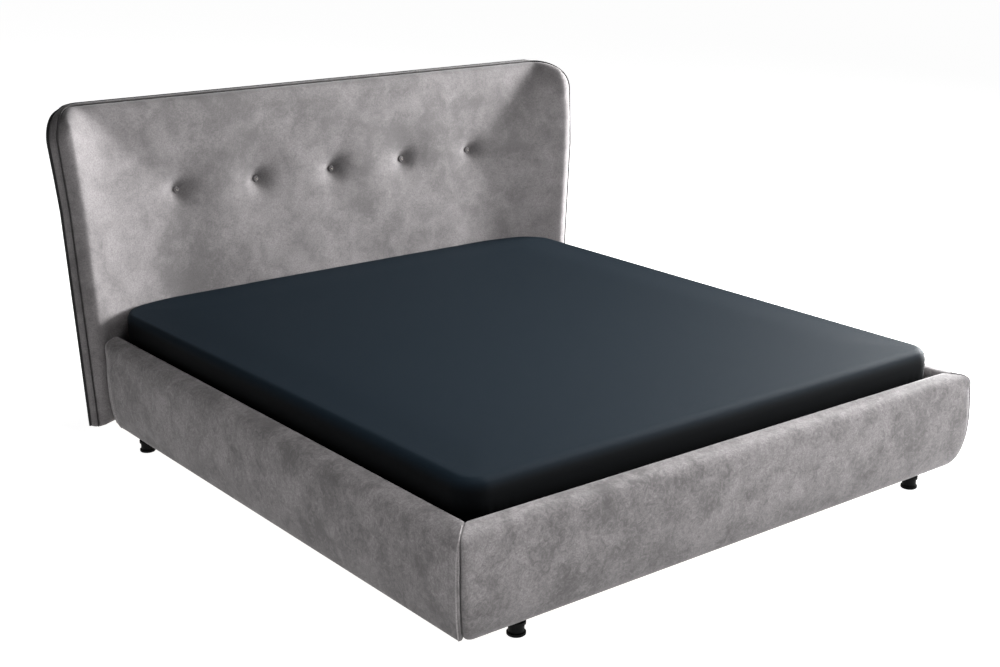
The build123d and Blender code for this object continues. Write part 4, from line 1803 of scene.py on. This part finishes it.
    def foot_rings(self) -> np.ndarray:
        """Return the foot rail's rings in place.

        Returns:
            The rings.
        """

        def start(depth: np.ndarray, up: np.ndarray) -> np.ndarray:
            """Give where the left mitre lies along the rail."""
            return -(self.half_well + depth) + self.mitre_gap

        def end(depth: np.ndarray, up: np.ndarray) -> np.ndarray:
            """Give where the right mitre lies along the rail."""
            return self.half_well + depth - self.mitre_gap

        rings = self.rolled((self.foot_mitre_round, self.foot_mitre_round), start, end, self.foot_length)
        depth, along, up = np.moveaxis(self.lumpy(rings, self.foot_lump_shift), -1, 0)
        return np.stack([along, self.foot_y - depth, up], axis=-1)

    def cover(self, side: str, rings: np.ndarray) -> None:
        """Close one rail's rings into its padded cover.

        Args:
            side: The rail's side.
            rings: The rail's rings.
        """
        replaced = (f"{side}_rail_cover", f"{side}_rail_foam")
        piece = settle(tube_mesh(f"{side}_rail_upholstery", rings), Body.FRAME, RAIL_VELOUR, replaced)

    def seams(self, side: str, rings: np.ndarray, repeats: Repeats) -> None:
        """Sew a side rail's two end seams: a piping and a row of stitches on each.

        Args:
            side: The rail's side.
            rings: The rail's rings.
            repeats: The maker of repeated pieces.
        """
        outer = slice(*self.outer_points)
        sign = np.sign(rings[0, 0, 0])
        out, up = self.facing[outer].T
        ways = np.stack([sign * out, np.zeros(len(out)), up], axis=1)
        for name, seam, row in self.end_seams:
            pipe(f"{side}_rail_{name}_piping", rings[seam][outer], self.piping_radius, PIPING_VELOUR)
            lines = [(rings[row][outer] + ways * self.stitch_rise, ways)]
            repeats.along(f"{side}_rail_{name}_stitches", lines, stitch(), self.stitch_pitch, SEAM_THREAD)

    def straight(self, start: Triple, end: Triple, way: Triple) -> tuple[np.ndarray, np.ndarray]:
        """Return a straight line's points and the way that pieces face along it."""
        return np.linspace(start, end, self.line_points), np.tile(np.array(way), (self.line_points, 1))

    def fasteners(self, repeats: Repeats) -> None:
        """Staple the covers underneath and screw the ledges to the boards.

        Args:
            repeats: The maker of repeated pieces.
        """
        x, foot = self.half_well + self.staple_inset, self.foot_y - self.staple_inset
        near, head = foot + self.staple_end_gap, self.foot_y + self.staple_run
        z = self.low - self.staple_drop
        runs = (((-x, near, z), (-x, head, z)), ((x, near, z), (x, head, z)), ((-x, foot, z), (x, foot, z)))
        lines = [self.straight(start, end, (0.0, 0.0, -1.0)) for start, end in runs]
        repeats.along("rail_cover_staples", lines, staple(), self.staple_pitch, ZINC_STEEL, turn=0.16)
        lines = []
        for side, sign in (("left", -1), ("right", 1)):
            low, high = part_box(f"{side}_ledge")
            inner = high.x if sign < 0 else low.x
            z = (low.z + high.z) / 2
            start, end = (inner, low.y + self.screw_end_gap, z), (inner, high.y - self.screw_end_gap, z)
            lines.append(self.straight(start, end, (-sign, 0.0, 0.0)))
        repeats.along("ledge_screws", lines, screw(), self.screw_pitch, ZINC_STEEL, turn=1.2, unevenness=0.0)

    def strips(self) -> None:
        """Make the flat strips under the padding, cut short of the corners' rolls."""
        for side in ("left", "right", "foot"):
            node = f"{side}_rail_strip"
            low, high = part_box(node)
            if side == "foot":
                low.x, high.x = low.x + self.strip_cut, high.x - self.strip_cut
            else:
                low.y += self.strip_cut
            size = high - low
            work = bmesh.new()
            bmesh.ops.create_cube(work, size=1.0)
            for vertex in work.verts:
                vertex.co = Vector([low[i] + (vertex.co[i] + 0.5) * size[i] for i in range(3)])
            edges = list(work.edges)
            shape = {"segments": 2, "profile": 0.5, "affect": "EDGES"}
            bmesh.ops.bevel(work, geom=edges, offset=self.strip_bevel, **shape)
            mesh = bpy.data.meshes.new(f"{side}_rail_cut_strip")
            work.to_mesh(mesh)
            work.free()
            settle(mesh, Body.FRAME, CHIPBOARD, (node,))

    def build(self, repeats: Repeats) -> None:
        """Make the three covers, their seams and their fasteners.

        Args:
            repeats: The maker of repeated pieces.
        """
        self.strips()
        for side, sign in (("left", -1), ("right", 1)):
            rings = self.side_rings(sign)
            self.cover(side, rings)
            self.seams(side, rings, repeats)
        self.cover("foot", self.foot_rings())
        self.fasteners(repeats)


@dataclass
class Mattress:
    """The mattress and the dark sheet stretched over it."""

    headboard: Headboard
    foot_corner: float = 0.075
    head_corner: float = 0.095
    head_reach: float = 0.40
    top_round: float = 0.034
    head_round: float = 0.016
    low_round: float = 0.026
    crown: float = 0.004
    crown_reach: float = 0.22
    skin: float = 0.0032
    hem: float = 0.12
    hem_share: float = 0.7
    core_hem_share: float = 0.6
    clearance: float = 0.001
    press_drop: float = 0.02
    gather: float = 0.0038
    gather_turn: float = 0.001
    gather_start_share: float = 0.15
    gather_rise_share: float = 0.6
    gather_reach: float = 0.22
    gather_between_share: float = 0.12
    core_draw: float = 2.2
    cloth_thick: float = 0.0008
    step: float = 0.020
    fine_step: float = 0.007
    fine_count: int = 21
    fine_band: float = 0.15
    least_step: float = 0.0035

    def __post_init__(self) -> None:
        """Take the mattress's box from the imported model."""
        self.box_low, self.box_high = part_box("fitted_sheet")

    def top_grid(self, plan: RoundedPlan) -> tuple[np.ndarray, np.ndarray]:
        """Return a grid over the top, finer where the rim is round.

        Args:
            plan: The top's outline.

        Returns:
            The points as two tables, across and along.
        """
        across, along = plan.lines()
        near = [plan.half - self.fine_band + self.fine_step * index for index in range(self.fine_count)]
        across = ordered(across, near, [-place for place in near])
        foot = [plan.low + self.fine_step * index for index in range(1, self.fine_count + 1)]
        along = ordered(along, foot)
        return plan.grid(thinned(across, self.least_step), thinned(along, self.least_step))

    def skin_rings(self, inset: float, hem_only: bool) -> bpy.types.Mesh:
        """Make the skin: crowned top, full sides, and the hem or the whole underside.

        Args:
            inset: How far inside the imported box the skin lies.
            hem_only: True for a sheet that ends in a hem underneath.

        Returns:
            The mesh.
        """
        plan = RoundedPlan(
            self.box_high.x - inset, self.box_low.y + inset, self.box_high.y - inset,
            self.foot_corner - inset, self.head_corner - inset, self.step, self.top_round, 7,
        )
        u, v = self.top_grid(plan)
        rows, columns = u.shape
        depth = plan.inset(u, v)
        v = v - self.pressed(u, v, inset)
        toward_head = smooth_step((v - self.box_low.y) / (self.box_high.y - self.box_low.y))
        edge = self.top_round + (self.head_round - self.top_round) * toward_head
        over = np.maximum(edge - depth, 0)
        top_z = self.box_high.z - inset - self.crown
        z = top_z - edge + np.sqrt(edge**2 - over**2)
        z += self.crown * smooth_step(depth / self.crown_reach)
        points = [np.stack([u, v, z], axis=-1).reshape(-1, 3)]
        number = np.arange(rows * columns).reshape(rows, columns)
        faces = [
            (number[r, c], number[r, c + 1], number[r + 1, c + 1], number[r + 1, c])
            for r in range(rows - 1)
            for c in range(columns - 1)
        ]
        previous = np.concatenate([number[0, :-1], number[:-1, -1], number[-1, :0:-1], number[:0:-1, 0]])
        rim = points[0][previous]
        tangent = unit((np.roll(rim, -1, axis=0) - np.roll(rim, 1, axis=0))[:, :2])
        out = np.stack([tangent[:, 1], -tangent[:, 0]], axis=1)
        gathers = self.gathers(rim)
        total, around = rows * columns, len(rim)
        for fall, shift, gather in self.wall(inset, hem_only):
            ring = np.empty((around, 3))
            ring[:, :2] = rim[:, :2] + out * (shift + gather * gathers)[:, None]
            ring[:, 2] = top_z - self.top_round - fall
            points.append(ring)
            current = np.arange(total, total + around)
            total += around
            for index in range(around):
                following = (index + 1) % around
                faces.append((previous[index], current[index], current[following], previous[following]))
            previous = current
        if not hem_only:
            faces.append(tuple(previous[::-1]))
        return mesh_of("skin", np.concatenate(points), faces)

    def pressed(self, u: np.ndarray, v: np.ndarray, inset: float) -> np.ndarray:
        """Return how far the headboard's padded wings push the head end back towards the foot.

        Args:
            u: The points' places across.
            v: Their places along.
            inset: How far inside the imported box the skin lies.

        Returns:
            The distances.
        """
        places = np.linspace(0, self.box_high.x, 60)
        level = self.box_high.z - self.press_drop
        faces = np.array([self.headboard.padded_y(float(place), level) for place in places])
        push = np.maximum(self.box_high.y - inset - (faces - self.clearance - inset), 0)
        push = np.maximum.accumulate(push)
        near = smooth_step((v - (self.box_high.y - self.head_reach)) / self.head_reach)
        return np.interp(np.abs(u), places, push) * near

    def wall(self, inset: float, hem_only: bool) -> list[Triple]:
        """Return rings below the top's edge as (fall, outward shift, gather).

        Args:
            inset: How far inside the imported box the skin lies.
            hem_only: True for a sheet that ends in a hem underneath.

        Returns:
            The rings, from the top down.
        """
        full = self.box_high.z - self.box_low.z - 2 * inset - self.crown
        side = full - self.top_round - self.low_round
        rings = []
        for share in np.linspace(0, 1, 13)[1:]:
            rise = float(smooth_step((share - self.gather_start_share) / self.gather_rise_share))
            rings.append((side * share, 0.0, self.gather * rise))
        for turn in np.linspace(0, math.pi / 2, 7)[1:]:
            fall = side + self.low_round * math.sin(turn)
            shift = -self.low_round * (1 - math.cos(turn))
            rings.append((fall, shift, self.gather + self.gather_turn * math.sin(turn)))
        reach = self.hem if hem_only else self.hem * self.core_hem_share
        for share in np.linspace(0, 1, 7)[1:]:
            shift = -self.low_round - reach * share * self.hem_share
            rings.append((side + self.low_round, shift, self.gather))
        if not hem_only:
            rings = [(fall, shift - self.core_draw * gather, 0.0) for fall, shift, gather in rings]
        return rings

    def gathers(self, rim: np.ndarray) -> np.ndarray:
        """Return the hem's small gathers along the rim, strongest at the corners, never outward.

        Args:
            rim: The points of the top's rim.

        Returns:
            The outward shifts, 0 or less.
        """
        gaps = np.linalg.norm(np.diff(rim, axis=0, append=rim[:1]), axis=1)
        girth = np.concatenate([[0], np.cumsum(gaps)[:-1]])
        corner_x = np.minimum(np.abs(rim[:, 0] - self.box_low.x), np.abs(self.box_high.x - rim[:, 0]))
        corner_y = np.minimum(np.abs(rim[:, 1] - self.box_low.y), np.abs(self.box_high.y - rim[:, 1]))
        far = np.maximum(corner_x, corner_y) / self.gather_reach
        # Each wave: its length, how much its spacing swings, how often it swings, and its share.
        waves = np.zeros(len(rim))
        for length, swing, often, share in ((0.027, 2.2, 9.1, 0.6), (0.043, 1.3, 5.3, 0.4)):
            waves += share * np.sin(girth * math.tau / length + swing * np.sin(girth * often))
        return (waves - 1) * (np.exp(-(far**2)) + self.gather_between_share)

    def build(self) -> None:
        """Make the mattress and its sheet."""
        core = self.skin_rings(self.skin, False)
        core.name = "mattress_core"
        outward(core)
        mattress = settle(core, Body.MATTRESS, TICKING, ("mattress",))
        cloth = self.skin_rings(0.0, True)
        work = bpy.data.objects.new("cloth", cloth)
        bpy.context.scene.collection.objects.link(work)
        solid = work.modifiers.new("thickness", "SOLIDIFY")
        solid.thickness = self.cloth_thick
        solid.offset = -1
        final = evaluated_mesh(work)
        bpy.data.objects.remove(work)
        bpy.data.meshes.remove(cloth)
        final.name = "dark_fitted_sheet"
        sheet = settle(final, Body.MATTRESS, SHEET_CLOTH, ("fitted_sheet",))


class Carcass:
    """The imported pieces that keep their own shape: they get their finishes here."""

    def build(self) -> None:
        """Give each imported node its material."""
        by_slot = {finish.slot: finish for finish in FINISHES}
        slots = {row["node"]: row["material_slot"] for row in frame["record"]["subparts"]}
        for name, node in frame["nodes"].items():
            material = material_of(by_slot[slots[name]])
            if not node.material_slots:
                node.data.materials.append(material)
            for holder in node.material_slots:
                holder.material = material
        log.info("carcass: %d nodes dressed", len(slots))


@dataclass(frozen=True)
class Softbox:
    """One soft light: place, width, power in watts, the point it faces, and its grid's angle."""

    name: str
    place: Triple
    width: float
    power: float
    aim: Triple = (0, 0.4, 0.5)
    spread: float = 180.0

    def hang(self) -> None:
        """Hang the light."""
        data = bpy.data.lights.new(self.name, "AREA")
        data.shape = "SQUARE"
        data.size = self.width
        data.energy = self.power
        data.spread = math.radians(self.spread)
        light = bpy.data.objects.new(self.name, data)
        light.location = self.place
        light.rotation_mode = "QUATERNION"
        light.rotation_quaternion = (Vector(self.aim) - Vector(self.place)).to_track_quat("-Z", "Y")
        bpy.context.scene.collection.objects.link(light)


LIGHTS = (
    Softbox("near_right", (4.2, -0.30, 1.3), 1.6, 310, (0, 0.8, 0.7)),
    Softbox("far_right", (5.5, 0.05, 1.4), 2.0, 800),
    Softbox("high_right", (5.5, -0.2, 4.4), 2.2, 215),
    Softbox("front_right", (4.0, -3.0, 1.6), 1.8, 165, (0.6, -1.0, 0.3)),
    Softbox("left_low", (-2.6, -0.9, 0.7), 1.2, 3, (-1, -0.5, 0.2)),
    Softbox("overhead", (0.0, -1.3, 4.2), 1.6, 28, (-0.1, -0.9, 0), 66),
)


@dataclass
class Studio:
    """Pale floor, soft lights and the camera."""

    eye: Triple = (-2.956, -3.7545, 1.841)
    azimuth: float = 38.0
    drop: float = 16.86
    lens: float = 56.04
    sensor: float = 36.0
    sight: float = 1000.0
    floor_reach: float = 400.0
    floor_glow: float = 0.97
    floor_shades: Span = (0.54, 0.56)
    air_glow: float = 0.02

    def camera(self) -> None:
        """Set the camera at the photograph's angle."""
        azimuth, drop = math.radians(self.azimuth), math.radians(self.drop)
        level = math.cos(drop)
        ahead = Vector((level * math.sin(azimuth), level * math.cos(azimuth), -math.sin(drop)))
        data = bpy.data.cameras.new("camera")
        data.lens = self.lens
        data.sensor_width = self.sensor
        data.clip_end = self.sight
        camera = bpy.data.objects.new("camera", data)
        camera.location = self.eye
        camera.rotation_mode = "QUATERNION"
        camera.rotation_quaternion = ahead.to_track_quat("-Z", "Y")
        bpy.context.scene.collection.objects.link(camera)
        bpy.context.scene.camera = camera

    def floor(self) -> None:
        """Lay the pale floor."""
        reach = self.floor_reach
        corners = np.array([(-reach, -reach, 0), (reach, -reach, 0), (reach, reach, 0), (-reach, reach, 0)])
        mesh = mesh_of("floor", corners, [(0, 1, 2, 3)])
        shader = Shader("floor")
        shade = shader.noise(shader.place(), 3, 2)
        colour = shader.mix(shade, *(grey(value) for value in self.floor_shades))
        glow = {"Emission_Color": grey(1), "Emission_Strength": self.floor_glow}
        mesh.materials.append(shader.finish(Base_Color=colour, Roughness=0.9, Specular_IOR_Level=0.1, **glow))
        piece = bpy.data.objects.new("floor", mesh)
        bpy.context.scene.collection.objects.link(piece)

    def build(self) -> None:
        """Set up the studio."""
        self.camera()
        self.floor()
        world = bpy.data.worlds.new("studio")
        world.use_nodes = True
        background = world.node_tree.nodes["Background"].inputs
        background["Color"].default_value = grey(1)
        background["Strength"].default_value = self.air_glow
        bpy.context.scene.world = world
        for light in LIGHTS:
            light.hang()
        bpy.context.scene.view_settings.view_transform = "Standard"
        log.info("studio: camera, floor and %d lights", len(LIGHTS))


def main() -> None:
    """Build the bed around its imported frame."""
    Studio().build()
    Carcass().build()
    repeats = Repeats()
    headboard = Headboard()
    headboard.build(repeats)
    Rails(headboard).build(repeats)
    Mattress(headboard).build()


if __name__ == "__main__":
    main()
